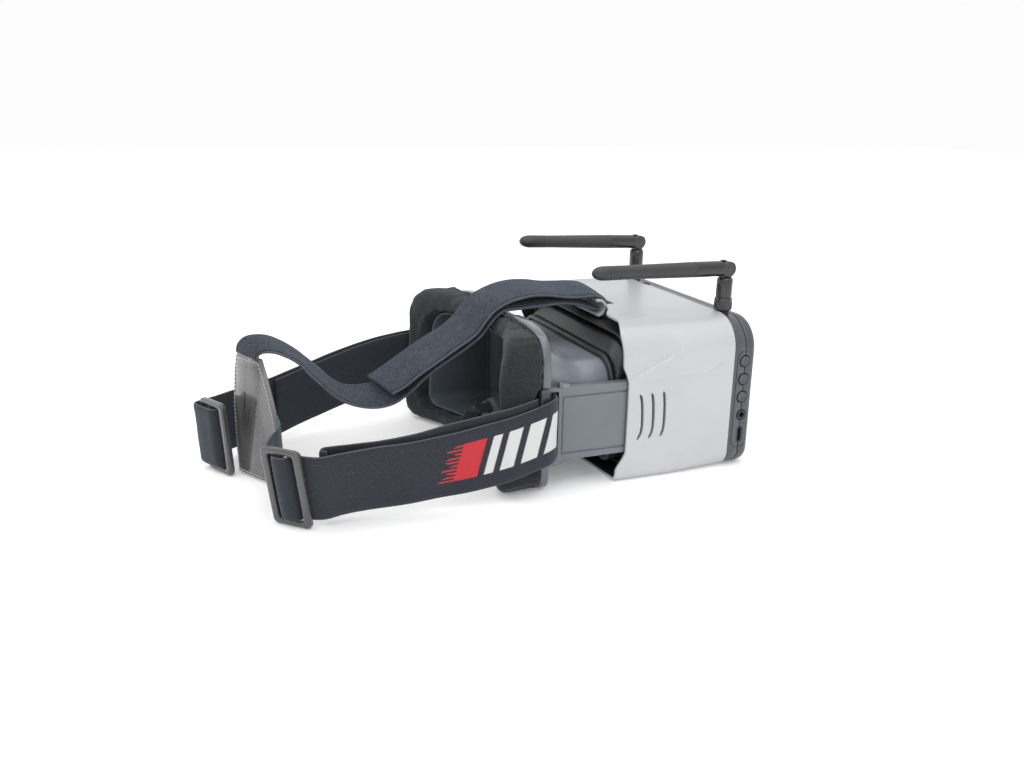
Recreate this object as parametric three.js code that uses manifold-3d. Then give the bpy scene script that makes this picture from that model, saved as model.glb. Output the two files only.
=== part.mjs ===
// Box-type video goggles: a light outer shell with a dark screen module on its front,
// a face frame that slides on two arms, a telescoping light shroud, a three-strap
// headband with a leather back pad, and two folding stick antennas.
// Millimetres, +Z up. +X is the wearer's left, -Y is the viewing direction (screen side),
// +Y is towards the face and the headband. Z = 0 is the surface the goggles stand on.
// The outer group moves everything so that the origin is the middle of the shell's floor.
import * as THREE from "three";
import { mergeVertices } from "three/addons/utils/BufferGeometryUtils.js";
import Module from "manifold-3d";

const wasm = await Module();
wasm.setup();

// ---------------------------------------------------------------- driving dimensions
const Y_REF = 35; // depth of the origin behind the shell's front edge
const SHELL_HW = 72.5; // half width of the outer shell
const SHELL_H = 86; // height of the outer shell
const SHELL_WALL = 1.8;
const SHELL_R_TOP = 18; // roof corner radius
const SHELL_R_BOT = 5; // floor corner radius
const DISP_HW = 71.6; // half width of the screen module
const DISP_H = 84.4;
const DISP_FRONT = -15.0; // front face of the screen module
const SEAM_Y = -7.5; // parting line between the two halves of the screen module
const BUTTON_D = 7.0;
const BUTTON_TRAVEL = 0.8;
const BUTTON_Z = [61.3, 51.0, 40.8];
const ANT_X = 50.9; // antennas left and right of the middle
const ANT_Y = -4;
const ANT_HINGE_Z = 109.5; // 25 mm above its seat
const ANT_ROD = 82.5; // hinge to tip
const ANT_ROD_R = 4.5;
const ARM_HW = 70.2; // outer face of the sliding arms
const ARM_T = 5.0;
const ARM_Z0 = 16.1,
  ARM_Z1 = 56.0;
const ARM_Y0 = 33.5,
  ARM_Y1 = 114.0;
const PLATE_Y0 = 109,
  PLATE_Y1 = 114; // face frame
const FACE_H = 88.5;
const TUNNEL_HW = 59.2;
const BAND_T = 2.0; // elastic thickness
const STRAP_T = 2.0;
const GLIDE_H = 42.0,
  GLIDE_W = 21.5,
  GLIDE_T = 3.6;

// ---------------------------------------------------------------- helpers
const mat = (color, roughness = 0.6, metalness = 0) =>
  new THREE.MeshStandardMaterial({ color, roughness, metalness });

function solid(geometry) {
  const g = geometry.clone();
  g.deleteAttribute("normal");
  g.deleteAttribute("uv");
  g.clearGroups();
  const m = mergeVertices(g, 1e-4);
  const p = m.attributes.position.array;
  const t = new Uint32Array(m.index.array);
  const v = new Float32Array(p);
  let vol = 0;
  for (let i = 0; i < t.length; i += 3) {
    const a = t[i] * 3,
      b = t[i + 1] * 3,
      c = t[i + 2] * 3;
    vol +=
      v[a] * (v[b + 1] * v[c + 2] - v[b + 2] * v[c + 1]) +
      v[a + 1] * (v[b + 2] * v[c] - v[b] * v[c + 2]) +
      v[a + 2] * (v[b] * v[c + 1] - v[b + 1] * v[c]);
  }
  if (vol < 0)
    for (let i = 0; i < t.length; i += 3) [t[i + 1], t[i + 2]] = [t[i + 2], t[i + 1]];
  return new wasm.Manifold(new wasm.Mesh({ numProp: 3, vertProperties: v, triVerts: t }));
}

function geometryOf(m) {
  const mesh = m.getMesh();
  const n = mesh.numProp;
  const out = new Float32Array(mesh.numVert * 3);
  for (let i = 0; i < mesh.numVert; i++)
    for (let k = 0; k < 3; k++) out[i * 3 + k] = mesh.vertProperties[i * n + k];
  const g = new THREE.BufferGeometry();
  g.setAttribute("position", new THREE.BufferAttribute(out, 3));
  g.setIndex(new THREE.BufferAttribute(new Uint32Array(mesh.triVerts), 1));
  g.computeVertexNormals();
  return g;
}

const union = (...s) => s.reduce((a, b) => a.add(b));
const cut = (a, ...s) => s.reduce((x, b) => x.subtract(b), a);
const place = (g, fn) => {
  const p = g.attributes.position;
  for (let i = 0; i < p.count; i++) {
    const [x, y, z] = fn(p.getX(i), p.getY(i), p.getZ(i));
    p.setXYZ(i, x, y, z);
  }
  return g;
};
const shapeOf = (pts) => new THREE.Shape(pts.map(([a, b]) => new THREE.Vector2(a, b)));
const extrude = (pts, depth) =>
  new THREE.ExtrudeGeometry(shapeOf(pts), { depth, bevelEnabled: false, steps: 1 });
// prisms: outline given in the two axes that are not the extrusion axis
const prismX = (yz, x0, x1) =>
  solid(place(extrude(yz, x1 - x0), (a, b, c) => [c + x0, a, b]));
const prismY = (xz, y0, y1) =>
  solid(place(extrude(xz, y1 - y0), (a, b, c) => [a, y1 - c, b]));
const prismZ = (xy, z0, z1) =>
  solid(place(extrude(xy, z1 - z0), (a, b, c) => [a, b, c + z0]));
const box = (x0, x1, y0, y1, z0, z1) =>
  solid(
    new THREE.BoxGeometry(x1 - x0, y1 - y0, z1 - z0).translate(
      (x0 + x1) / 2,
      (y0 + y1) / 2,
      (z0 + z1) / 2,
    ),
  );
function cylGeo(axis, r0, r1, a, b, u, v, seg = 20) {
  // along x: (u, v) = (y, z); along y: (x, z); along z: (x, y); r0 at a, r1 at b
  const g = new THREE.CylinderGeometry(r1, r0, b - a, seg, 1);
  if (axis === "x") return place(g, (x, y, z) => [y + (a + b) / 2, z + u, x + v]);
  if (axis === "y") return place(g, (x, y, z) => [x + u, y + (a + b) / 2, -z + v]);
  return place(g, (x, y, z) => [x + u, -z + v, y + (a + b) / 2]);
}
const cyl = (...q) => solid(cylGeo(...q));

// ring of points of a rounded rectangle in the XZ plane
function ringXZ(hw, z0, z1, rt, rb, seg = 5) {
  const pts = [];
  const arc = (cx, cz, r, a0, a1) => {
    for (let i = 0; i <= seg; i++) {
      const a = ((a0 + ((a1 - a0) * i) / seg) * Math.PI) / 180;
      pts.push([cx + r * Math.cos(a), cz + r * Math.sin(a)]);
    }
  };
  arc(hw - rt, z1 - rt, rt, 0, 90);
  arc(-hw + rt, z1 - rt, rt, 90, 180);
  arc(-hw + rb, z0 + rb, rb, 180, 270);
  arc(hw - rb, z0 + rb, rb, 270, 360);
  return pts;
}
// closed body through rings with equal counts, capped at both ends
function loft(rings) {
  const n = rings[0].length,
    pos = [],
    idx = [];
  for (const r of rings) for (const p of r) pos.push(...p);
  for (let k = 0; k + 1 < rings.length; k++)
    for (let i = 0; i < n; i++) {
      const j = (i + 1) % n,
        a = k * n + i,
        b = k * n + j,
        c = (k + 1) * n + j,
        d = (k + 1) * n + i;
      idx.push(a, b, c, a, c, d);
    }
  const cap = (k, flip) => {
    const c = [0, 0, 0];
    for (const p of rings[k]) for (let q = 0; q < 3; q++) c[q] += p[q] / n;
    const m = pos.length / 3;
    pos.push(...c);
    for (let i = 0; i < n; i++) {
      const a = k * n + i,
        b = k * n + ((i + 1) % n);
      if (flip) idx.push(m, b, a);
      else idx.push(m, a, b);
    }
  };
  cap(0, true);
  cap(rings.length - 1, false);
  const g = new THREE.BufferGeometry();
  g.setAttribute("position", new THREE.BufferAttribute(new Float32Array(pos), 3));
  g.setIndex(idx);
  return solid(g);
}
// tube-like body along Y through rounded-rectangle sections
const loftY = (sections, seg = 5) =>
  loft(
    sections.map(([y, hw, z0, z1, rt, rb]) =>
      ringXZ(hw, z0, z1, rt, rb, seg).map(([x, z]) => [x, y, z]),
    ),
  );
const V = (a) => new THREE.Vector3(...a);
// smooth resampling of a polyline of points
function smooth(pts, n) {
  const c = new THREE.CatmullRomCurve3(pts.map(V), false, "centripetal");
  return c.getSpacedPoints(n).map((p) => [p.x, p.y, p.z]);
}
// a flat strap between two edge lines, with thickness t
function ribbon(edgeA, edgeB, t) {
  const n = edgeA.length,
    rings = [];
  for (let i = 0; i < n; i++) {
    const a = V(edgeA[i]),
      b = V(edgeB[i]);
    const m0 = V(edgeA[Math.max(0, i - 1)]).add(V(edgeB[Math.max(0, i - 1)]));
    const m1 = V(edgeA[Math.min(n - 1, i + 1)]).add(V(edgeB[Math.min(n - 1, i + 1)]));
    const tan = m1.sub(m0).normalize();
    const nor = new THREE.Vector3()
      .crossVectors(tan, a.clone().sub(b))
      .normalize()
      .multiplyScalar(t / 2);
    rings.push([
      a.clone().add(nor).toArray(),
      a.clone().sub(nor).toArray(),
      b.clone().sub(nor).toArray(),
      b.clone().add(nor).toArray(),
    ]);
  }
  return loft(rings);
}

const root = new THREE.Group();
const frame = new THREE.Group();
frame.position.set(0, -Y_REF, 0);
root.add(frame);
function add(name, m, material) {
  const mesh = new THREE.Mesh(m.isBufferGeometry ? m : geometryOf(m), material);
  mesh.name = name;
  frame.add(mesh);
  return mesh;
}
const both = (fn) => [-1, 1].forEach((s) => fn(s, s < 0 ? "right" : "left"));
const mirror = (pts, s) => pts.map(([x, y, z]) => [x * s, y, z]);

// ---------------------------------------------------------------- materials
const SILVER = mat(0xdde1e4, 0.38);
const DARK = mat(0x4d5258, 0.5);
const GREY = mat(0x7b828a, 0.5);
const FRAME = mat(0x34383d, 0.4);
const FOAM = mat(0x1c1e21, 0.95);
const RUBBER = mat(0x3c4146, 0.55);
const BLACK = mat(0x17181a, 0.6);
const ELASTIC = mat(0x222a34, 0.9);
const VELVET = mat(0x2a3140, 0.95);
const LEATHER = mat(0x1c1c1e, 0.25);
const STEEL = mat(0xb9bcc0, 0.3, 1);
const BRASS = mat(0xc9a35a, 0.35, 1);
const CLEAR = mat(0xdfeef2, 0.08);
const SCREEN = mat(0x0a0c10, 0.1);
const BOARD = mat(0x1e5b3c, 0.6);
const CELL = mat(0x2d4d8f, 0.5);

// ================================================================ outer shell
{
  let s = loftY([
    [0, SHELL_HW, 0, SHELL_H, SHELL_R_TOP, SHELL_R_BOT],
    [78, SHELL_HW, 0, SHELL_H, SHELL_R_TOP, SHELL_R_BOT],
  ], 6);
  s = cut(
    s,
    loftY([
      [-1, SHELL_HW - SHELL_WALL, SHELL_WALL, SHELL_H - SHELL_WALL, SHELL_R_TOP - SHELL_WALL, SHELL_R_BOT - SHELL_WALL],
      [79, SHELL_HW - SHELL_WALL, SHELL_WALL, SHELL_H - SHELL_WALL, SHELL_R_TOP - SHELL_WALL, SHELL_R_BOT - SHELL_WALL],
    ], 6),
  );
  // rear edge of the side walls, with the notch that the arms come out of
  const side = [
    [72.5, -2], [72.2, 3], [69.2, 9], [66.4, 13], [64.7, 16.2], [64.5, 40], [64.6, 56],
    [66.4, 60.5], [68.2, 64.5], [68.3, 90], [90, 90], [90, -2],
  ];
  s = cut(s, prismX(side, -80, -60), prismX(side, 60, 80));
  // rear edge of the floor
  const floor = [[-81, 70], [-64, 70.4], [-56, 71], [-45, 71.7], [-34.5, 73], [-29, 75.7], [29, 75.7], [34.5, 73], [45, 71.7], [56, 71], [64, 70.4], [81, 70], [81, 90], [-81, 90]];
  s = cut(s, prismZ(floor, -1, 20));
  // rear edge of the roof, cut forward to the strap lip in the middle
  const roof = [[-81, 68.3], [-68, 68.3], [-62, 66.4], [-55, 63.9], [-42, 63.3], [-36, 61.4], [-29, 56.5], [-22, 54.0], [-19, 53.6], [19, 53.6], [22, 54.0], [29, 56.5], [36, 61.4], [42, 63.3], [55, 63.9], [62, 66.4], [68, 68.3], [81, 68.3], [81, 90], [-81, 90]];
  s = cut(s, prismZ(roof, 64, 95));
  // rolled lip, open to the rear
  const lip = [];
  for (let i = 0; i <= 10; i++) {
    const a = ((68 + (224 * i) / 10) * Math.PI) / 180;
    lip.push([57 + 5.2 * Math.cos(a), 84 + 5.2 * Math.sin(a)]);
  }
  for (let i = 10; i >= 0; i--) {
    const a = ((68 + (224 * i) / 10) * Math.PI) / 180;
    lip.push([57 + 3.4 * Math.cos(a), 84 + 3.4 * Math.sin(a)]);
  }
  s = union(s, prismX(lip, -18.4, 18.4));
  // strap slot in the roof just in front of the lip
  s = cut(s, box(-17.9, 17.9, 46.9, 51.5, 80, 92));
  // vents: three bent slots on each side
  const vents = [
    [[57.8, 48.8], [56.6, 45.7], [56, 27.6], [58.2, 23.1]],
    [[50.8, 49.0], [49.8, 45.9], [49.3, 27.7], [51.2, 23.3]],
    [[43.6, 49.1], [42.8, 46.0], [42.5, 27.8], [44.1, 23.5]],
  ];
  for (const v of vents) {
    const w = 1.0;
    const poly = [...v.map(([y, z]) => [y + w, z]), ...v.slice().reverse().map(([y, z]) => [y - w, z])];
    s = cut(s, prismX(poly, -80, -60), prismX(poly, 60, 80));
  }
  add("outer_shell", s, SILVER);
}

// ================================================================ arm guide rails inside the shell
both((s, side) => {
  const x = (a, b) => (s < 0 ? [-b, -a] : [a, b]);
  const top = box(...x(64.3, 70.4), 2.9, 60, 56.6, 58.6);
  const bot = box(...x(64.3, 70.4), 2.9, 60, 13.5, 15.5);
  const web = box(...x(64.3, 65.0), 2.9, 60, 13.5, 58.6);
  add("guide_rail_" + side, union(top, bot, web), BLACK);
});

// ================================================================ lens housing, lens and retainer
{
  let s = loftY([
    [4, 64.4, 4.6, 77.4, 17, 9],
    [62, 64.4, 4.6, 77.4, 17, 9],
  ]);
  s = cut(
    s,
    loftY([
      [22, 62.9, 6.1, 75.9, 15.5, 7.5],
      [63, 62.9, 6.1, 75.9, 15.5, 7.5],
    ]),
    loftY([
      [3, 57, 11, 72, 8, 8],
      [23, 57, 11, 72, 8, 8],
    ], 3),
    loftY([
      [17.6, 60.5, 8.4, 74.6, 10, 10],
      [23, 60.5, 8.4, 74.6, 10, 10],
    ], 3),
  );
  // flat sides where the arms pass
  s = cut(s, box(-66, -64.1, 3, 63, 12, 60), box(64.1, 66, 3, 63, 12, 60));
  add("lens_housing", s, BLACK);
  add(
    "fresnel_lens",
    loftY([
      [17.9, 60.2, 8.7, 74.3, 9.7, 9.7],
      [20.2, 60.2, 8.7, 74.3, 9.7, 9.7],
    ], 3),
    CLEAR,
  );
  let r = loftY([
    [22.3, 62.5, 6.5, 75.5, 15, 7.2],
    [24.3, 62.5, 6.5, 75.5, 15, 7.2],
  ]);
  r = cut(r, loftY([
    [21, 57, 11, 72, 8, 8],
    [26, 57, 11, 72, 8, 8],
  ], 3));
  const holes = [[-59.6, 30], [-59.6, 53], [59.6, 30], [59.6, 53]];
  for (const [x, z] of holes) r = cut(r, cyl("y", 1.3, 1.3, 20, 27, x, z, 10));
  add("lens_retainer", r, BLACK);
  holes.forEach(([x, z], i) =>
    add(
      "lens_screw_" + (i + 1),
      union(cyl("y", 1.0, 1.0, 22.4, 24.8, x, z, 10), cyl("y", 2.0, 2.0, 24.6, 25.8, x, z, 12)),
      STEEL,
    ),
  );
}

// ================================================================ middle sleeve of the shroud
{
  let s = loftY([
    [42, 61.7, 7.2, 72.9, 15, 7],
    [61.5, 61.7, 7.2, 72.9, 15, 7],
    [66.5, 61.9, 7.4, 67.3, 15, 7],
    [67.0, 62.4, 7.0, 67.1, 15.5, 7],
    [70.4, 62.4, 7.0, 65.9, 15.5, 7],
  ]);
  s = cut(
    s,
    loftY([
      [41, 60.1, 8.8, 71.3, 13.4, 5.4],
      [60.9, 60.1, 8.8, 71.3, 13.4, 5.4],
      [65.9, 60.1, 9.0, 64.7, 13.4, 5.4],
      [71, 60.1, 9.2, 64.3, 13.4, 5.4],
    ]),
  );
  add("shroud_sleeve", s, RUBBER);
}

// nose opening shared by the frame, the foam and the tunnel
const NOSE = [[-25, -3], [-22.5, 6], [-17.5, 15], [-10, 22], [0, 24.5], [10, 22], [17.5, 15], [22.5, 6], [25, -3]];
const noseRing = (y, fx, fz, g) => NOSE.map(([x, z]) => [x * fx + Math.sign(x) * g, y, z < 0 ? z : z * fz + g]);
// rise of an opening's lower edge over the nose
const bridge = (x, h, w) => (Math.abs(x) < w ? h * Math.cos((Math.PI / 2) * (x / w)) ** 2 : 0);

// ================================================================ eye tunnel of the face frame
{
  const outside = loftY([
    [64.5, TUNNEL_HW, 10.0, 63.4, 13, 6],
    [86, TUNNEL_HW, 10.0, 63.4, 13, 6],
    [96, 61.2, 8.2, 68.3, 14, 7],
    [108.4, 63.6, 5.4, 75.5, 15, 8],
    [108.7, 63.6, 5.4, 75.5, 15, 8],
  ]);
  let s = cut(
    outside,
    loftY([
      [63, TUNNEL_HW - 1.8, 11.8, 61.6, 11.2, 4.2],
      [86.5, TUNNEL_HW - 1.8, 11.8, 61.6, 11.2, 4.2],
      [96.5, 59.4, 10.0, 66.5, 12.2, 5.2],
      [109.5, 61.8, 7.2, 73.7, 13.2, 6.2],
    ]),
  );
  // raised roof over the nose
  const over = loft([noseRing(86, 0.5, 0.5, 1.7), noseRing(110, 1, 1, 1.7)]);
  const under = loft([noseRing(84, 0.45, 0.42, 0), noseRing(110, 1, 1, 0)]);
  s = cut(union(s, over.intersect(outside)), under);
  add("eye_tunnel", s, RUBBER);
}

// ================================================================ face frame
{
  const outline = [];
  const half = [[0, 84.7], [20, 84.9], [29, 86.0], [40, 86.4], [51, 85.8], [59, 84.6], [64.5, 82.8], [68.3, 79.0], [70.6, 74.5], [71.7, 69], [72, 62], [72, 56.6], [64.7, 56.6], [64.7, 15.5], [72, 15.5], [72, 8], [70.4, 3.2], [66.5, 0.6], [61, 0], [27, 0]];
  for (const p of half) outline.push(p);
  for (const p of half.slice(1).reverse()) outline.push([-p[0], p[1]]);
  let s = prismY(outline.map(([x, z]) => [x, z]), PLATE_Y0, PLATE_Y1);
  const win = [];
  const base = ringXZ(57.5, 12.4, 70.5, 12, 6, 4);
  base.forEach((a, i) => {
    const b = base[(i + 1) % base.length];
    const m = Math.hypot(a[0] - b[0], a[1] - b[1]) > 60 ? 16 : 1;
    for (let j = 0; j < m; j++) win.push([a[0] + ((b[0] - a[0]) * j) / m, a[1] + ((b[1] - a[1]) * j) / m]);
  });
  const bumped = win.map(([x, z]) => [x, z < 20 ? z + bridge(x, 17.5, 30) : z]);
  s = cut(s, prismY(bumped, 100, 120), prismY(NOSE, 100, 120));
  add("face_frame", s, FRAME);
}

// ================================================================ face foam and the smooth cup that lines it
{
  const yFace = (x, z) => 118 + 24 * Math.abs(x / 76) ** 1.6 + 5.5 * (1 - z / 88) + 0.06 * x;
  const outer = ringXZ(75.2, 0.5, 85.0, 14, 9, 6);
  // dip of the top edge over the nose line, as on the frame
  const dip = (x, z) => (z > 60 ? z - 3.2 * Math.max(0, 1 - Math.abs(x) / 36) : z);
  // denser ring so that the curved rear face is followed
  const dense = (ring, k) => {
    const out = [];
    for (let i = 0; i < ring.length; i++) {
      const a = ring[i],
        b = ring[(i + 1) % ring.length];
      const m = Math.hypot(a[0] - b[0], a[1] - b[1]) > 20 ? k : 1;
      for (let j = 0; j < m; j++) out.push([a[0] + ((b[0] - a[0]) * j) / m, a[1] + ((b[1] - a[1]) * j) / m]);
    }
    return out;
  };
  const ro = dense(outer, 6);
  const ringAt = (ring, grow, y) =>
    ring.map(([x, z]) => {
      const cx = x * (1 + grow / 76),
        cz = 43 + (z - 43) * (1 + grow / 42);
      return [cx, y(cx, cz), dip(cx, cz)];
    });
  // opening of the ring, with its lower edge raised over the nose
  const hole = (hw, z0, z1, rt, rb, y) =>
    dense(ringXZ(hw, z0, z1, rt, rb, 5), 12).map(([x, z]) => {
      const zz = z < 30 ? z + bridge(x, 17.5, 30) : z;
      return [x, y(x, zz), zz];
    });
  let s = loft([
    ringAt(ro, -3, () => 114.4),
    ringAt(ro, 0, () => 115.4),
    ringAt(ro, 0, (x, z) => Math.max(115.7, yFace(x, z) - 7)),
    ringAt(ro, -1.4, (x, z) => Math.max(116.2, yFace(x, z) - 2.6)),
    ringAt(ro, -4.5, (x, z) => Math.max(116.8, yFace(x, z) - 0.4)),
    ringAt(ro, -9, (x, z) => yFace(x, z)),
    ringAt(ro, -16, (x, z) => yFace(x, z) - 0.4),
  ]);
  s = cut(
    s,
    loft([
      hole(59.5, 10.5, 72.5, 13.5, 8.5, () => 110),
      hole(59.5, 10.5, 72.5, 13.5, 8.5, () => 170),
    ]),
    prismY(NOSE, 108, 160),
    // relief for the strap end behind each arm
    box(-80, -63.5, 110, 117.6, 15, 57),
    box(63.5, 80, 110, 117.6, 15, 57),
  );
  add("face_foam", s, FOAM);
  const yCup = (x, z) => Math.max(115.6, yFace(x, z) - 6.5);
  let c = loft([
    hole(59.3, 10.7, 72.3, 13.3, 8.3, () => 114.1),
    hole(59.3, 10.7, 72.3, 13.3, 8.3, yCup),
    hole(57.0, 13.0, 70.0, 11.0, 6.0, (x, z) => yCup(x, z) - 0.05),
  ]);
  c = cut(
    c,
    loft([
      hole(57.9, 12.1, 70.9, 11.9, 6.9, () => 110),
      hole(57.9, 12.1, 70.9, 11.9, 6.9, () => 170),
    ]),
  );
  add("foam_cup", c, RUBBER);
}

// ================================================================ sliding arms
both((s, side) => {
  const x = (a, b) => (s < 0 ? [-b, -a] : [a, b]);
  let a = box(...x(ARM_HW - ARM_T, ARM_HW), ARM_Y0, ARM_Y1 - 0.2, ARM_Z0, ARM_Z1);
  // grooves that frame the recessed panel
  a = cut(
    a,
    box(...x(ARM_HW - 0.8, ARM_HW + 1), 40, 101.2, 50.6, 51.4),
    box(...x(ARM_HW - 0.8, ARM_HW + 1), 40, 101.2, 19.6, 20.4),
    // strap slot
    box(...x(60, 75), 104.0, 108.9, 18.0, 54.2),
    // screw holes into the face frame
    cyl("x", 1.3, 1.3, ...x(60, 75), 110.9, 22, 10),
    cyl("x", 1.3, 1.3, ...x(60, 75), 110.9, 50, 10),
  );
  // clip boss on top near the frame
  a = union(a, box(...x(66.0, 69.4), 98.6, 102.6, 55.5, 57.6));
  add("arm_" + side, a, GREY);
  [22, 50].forEach((z, i) => {
    const sh = cyl("x", 1.0, 1.0, ...x(65.3, 69.4), 110.9, z, 10);
    const hd = s < 0 ? cyl("x", 2.0, 2.0, -71.5, -70.5, 110.9, z, 12) : cyl("x", 2.0, 2.0, 70.5, 71.5, 110.9, z, 12);
    const nk = s < 0 ? cyl("x", 1.0, 1.0, -70.7, -69.3, 110.9, z, 10) : cyl("x", 1.0, 1.0, 69.3, 70.7, 110.9, z, 10);
    add("arm_screw_" + side + "_" + (i + 1), union(sh, nk, hd), STEEL);
  });
});

// ================================================================ elastic side bands
// Tri-glide frame axes in plan: d runs along the strap, n points away from the head.
const GLIDES = {
  right: { c: [-67.6, 240.6], top: [-73.2, 246.2], d: [0.7, 0.714] },
  left: { c: [13.6, 266.4], top: [9.9, 269.0], d: [0.89, 0.456] },
};
function glidePoint(g, s, n, z) {
  const f = z / GLIDE_H;
  const cx = g.c[0] + (g.top[0] - g.c[0]) * f,
    cy = g.c[1] + (g.top[1] - g.c[1]) * f;
  return [cx + g.d[0] * s - g.d[1] * n, cy + g.d[1] * s + g.d[0] * n, z];
}
for (const [side, g] of Object.entries(GLIDES)) {
  const quad = (s0, s1, n0, n1, z0, z1) => {
    const ring = (z) => [
      glidePoint(g, s0, n0, z),
      glidePoint(g, s1, n0, z),
      glidePoint(g, s1, n1, z),
      glidePoint(g, s0, n1, z),
    ];
    return loft([ring(z0), ring(z1)]);
  };
  const t = GLIDE_T / 2,
    w = GLIDE_W / 2;
  let m = quad(-w, w, -t, t, 0, GLIDE_H);
  m = cut(m, quad(-w + 3.9, -1.6, -9, 9, 3.1, GLIDE_H - 3.1), quad(1.6, w - 3.9, -9, 9, 3.1, GLIDE_H - 3.1));
  add("tri_glide_" + side, m, DARK);
}
const gl = (side, s, n, z) => glidePoint(GLIDES[side], s, n, z);
{
  // right band: arm slot -> glide -> back pad
  const topLine = [
    [-67.6, 106.5, 53.2], [-72.5, 106.7, 53.2], [-76.2, 108.6, 53.1], [-79.2, 113.0, 52.4], [-80.4, 120, 50.6],
    [-80.6, 135, 47.0], [-80.6, 154, 44.0], [-80.6, 168, 42.0], [-80.6, 184, 40.4], [-80.6, 204, 39.8],
    [-81.4, 220, 39.2], [-81.8, 230, 38.6],
    gl("right", -10, -3.3, 38.3), gl("right", -7.2, -3.2, 38.3), gl("right", -4.9, -2.0, 38.3), gl("right", -4.2, 0, 38.3), gl("right", -3.5, 2.0, 38.3), gl("right", -1.4, 3.1, 38.3),
    gl("right", 1.4, 3.1, 38.3), gl("right", 3.5, 2.0, 38.3), gl("right", 4.2, 0, 38.3), gl("right", 4.9, -2.0, 38.3), gl("right", 7.2, -3.2, 38.3), gl("right", 10, -3.4, 38.3),
    [-55.0, 250.2, 38.3], [-45, 246.4, 38.3], [-35, 242.0, 38.3], [-25, 239.6, 38.3], [-16.2, 239.2, 38.3],
  ];
  const botLine = [
    [-67.6, 106.5, 18.8], [-72.5, 106.7, 18.8], [-76.0, 108.6, 18.7], [-78.6, 113.0, 17.8], [-79.4, 120, 16.0],
    [-79.4, 135, 12.4], [-78.4, 154, 9.4], [-75.6, 168, 7.4], [-74.6, 184, 5.8], [-73.4, 204, 5.2],
    [-73.6, 218, 4.6], [-74.6, 226, 4.0],
    gl("right", -10, -3.3, 3.7), gl("right", -7.2, -3.2, 3.7), gl("right", -4.9, -2.0, 3.7), gl("right", -4.2, 0, 3.7), gl("right", -3.5, 2.0, 3.7), gl("right", -1.4, 3.1, 3.7),
    gl("right", 1.4, 3.1, 3.7), gl("right", 3.5, 2.0, 3.7), gl("right", 4.2, 0, 3.7), gl("right", 4.9, -2.0, 3.7), gl("right", 7.2, -3.2, 3.7), gl("right", 10, -3.4, 3.7),
    [-52.0, 247.6, 3.7], [-44, 244.6, 3.7], [-36, 241.2, 3.7], [-28.5, 239.2, 3.7], [-21.4, 238.8, 3.7],
  ];
  add("side_band_right", ribbon(topLine, botLine, BAND_T), ELASTIC);
  // doubled-back layer on the head side
  const inTop = [[-77.6, 119, 50.4], [-77.9, 135, 46.8], [-77.9, 154, 43.8], [-77.7, 168, 41.8], [-77.4, 184, 40.2], [-76.6, 200, 39.8], [-75.4, 214, 39.6], [-74.4, 226, 39.4]];
  const inBot = [[-76.7, 119, 16.2], [-76.8, 135, 12.6], [-75.6, 154, 9.4], [-72.9, 168, 7.4], [-71.4, 184, 5.8], [-70.0, 200, 5.2], [-68.6, 214, 4.8], [-68.0, 224, 4.4]];
  add("band_return_right", ribbon(inTop, inBot, BAND_T), ELASTIC);
}
{
  // left band
  const topLine = [
    [67.6, 106.5, 53.2], [72.5, 106.7, 53.2], [75.6, 108.6, 53.3], [78.4, 113.4, 53.8], [79.8, 122, 55],
    [79.5, 140, 54.9], [77.4, 156, 53.6], [75.0, 172, 51.2], [71.6, 186, 48.4], [68.6, 196, 46.2],
    [64.6, 209, 43.2], [58.8, 222, 40.6], [51.6, 234.5, 39.0], [44.0, 246.5, 38.4], [36.5, 257.5, 38.3], [30.0, 265.5, 38.3],
    gl("left", 14.0, 2.6, 38.3), gl("left", 10.5, 3.6, 38.3), gl("left", 7, 3.8, 38.3), gl("left", 3, 3.6, 38.3), gl("left", -2.0, 3.2, 38.3),
    gl("left", -3.8, 1.8, 38.3), gl("left", -4.3, -0.2, 38.3), gl("left", -4.2, -2.4, 38.3),
  ];
  const botLine = [
    [67.6, 106.5, 18.8], [72.5, 106.7, 18.8], [75.6, 108.6, 18.9], [78.4, 113.4, 19.4], [79.8, 122, 20.5],
    [79.5, 140, 20.4], [77.4, 156, 19.1], [75.0, 172, 16.7], [71.6, 186, 14.0], [68.6, 196, 11.8],
    [64.6, 209, 8.7], [58.8, 222, 6.1], [51.8, 234.5, 4.4], [44.8, 246.5, 3.8], [38.0, 257.0, 3.7], [32.6, 264.2, 3.7],
    gl("left", 14.0, 2.6, 3.7), gl("left", 10.5, 3.6, 3.7), gl("left", 7, 3.8, 3.7), gl("left", 3, 3.6, 3.7), gl("left", -2.0, 3.2, 3.7),
    gl("left", -3.8, 1.8, 3.7), gl("left", -4.3, -0.2, 3.7), gl("left", -4.2, -2.4, 3.7),
  ];
  add("side_band_left", ribbon(topLine, botLine, BAND_T), ELASTIC);
  const inTop = [[77.2, 119, 54.0], [77.0, 140, 53.9], [74.9, 156, 52.6], [72.2, 171.4, 50.2], [68.8, 185.2, 47.4], [65.8, 195, 45.2], [61.8, 207.8, 42.2], [56.2, 220.4, 39.8], [50.4, 230.4, 38.4]];
  const inBot = inTop.map(([x, y, z]) => [x, y, z - 33.6]);
  add("band_return_left", ribbon(inTop, inBot, BAND_T), ELASTIC);
}

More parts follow.
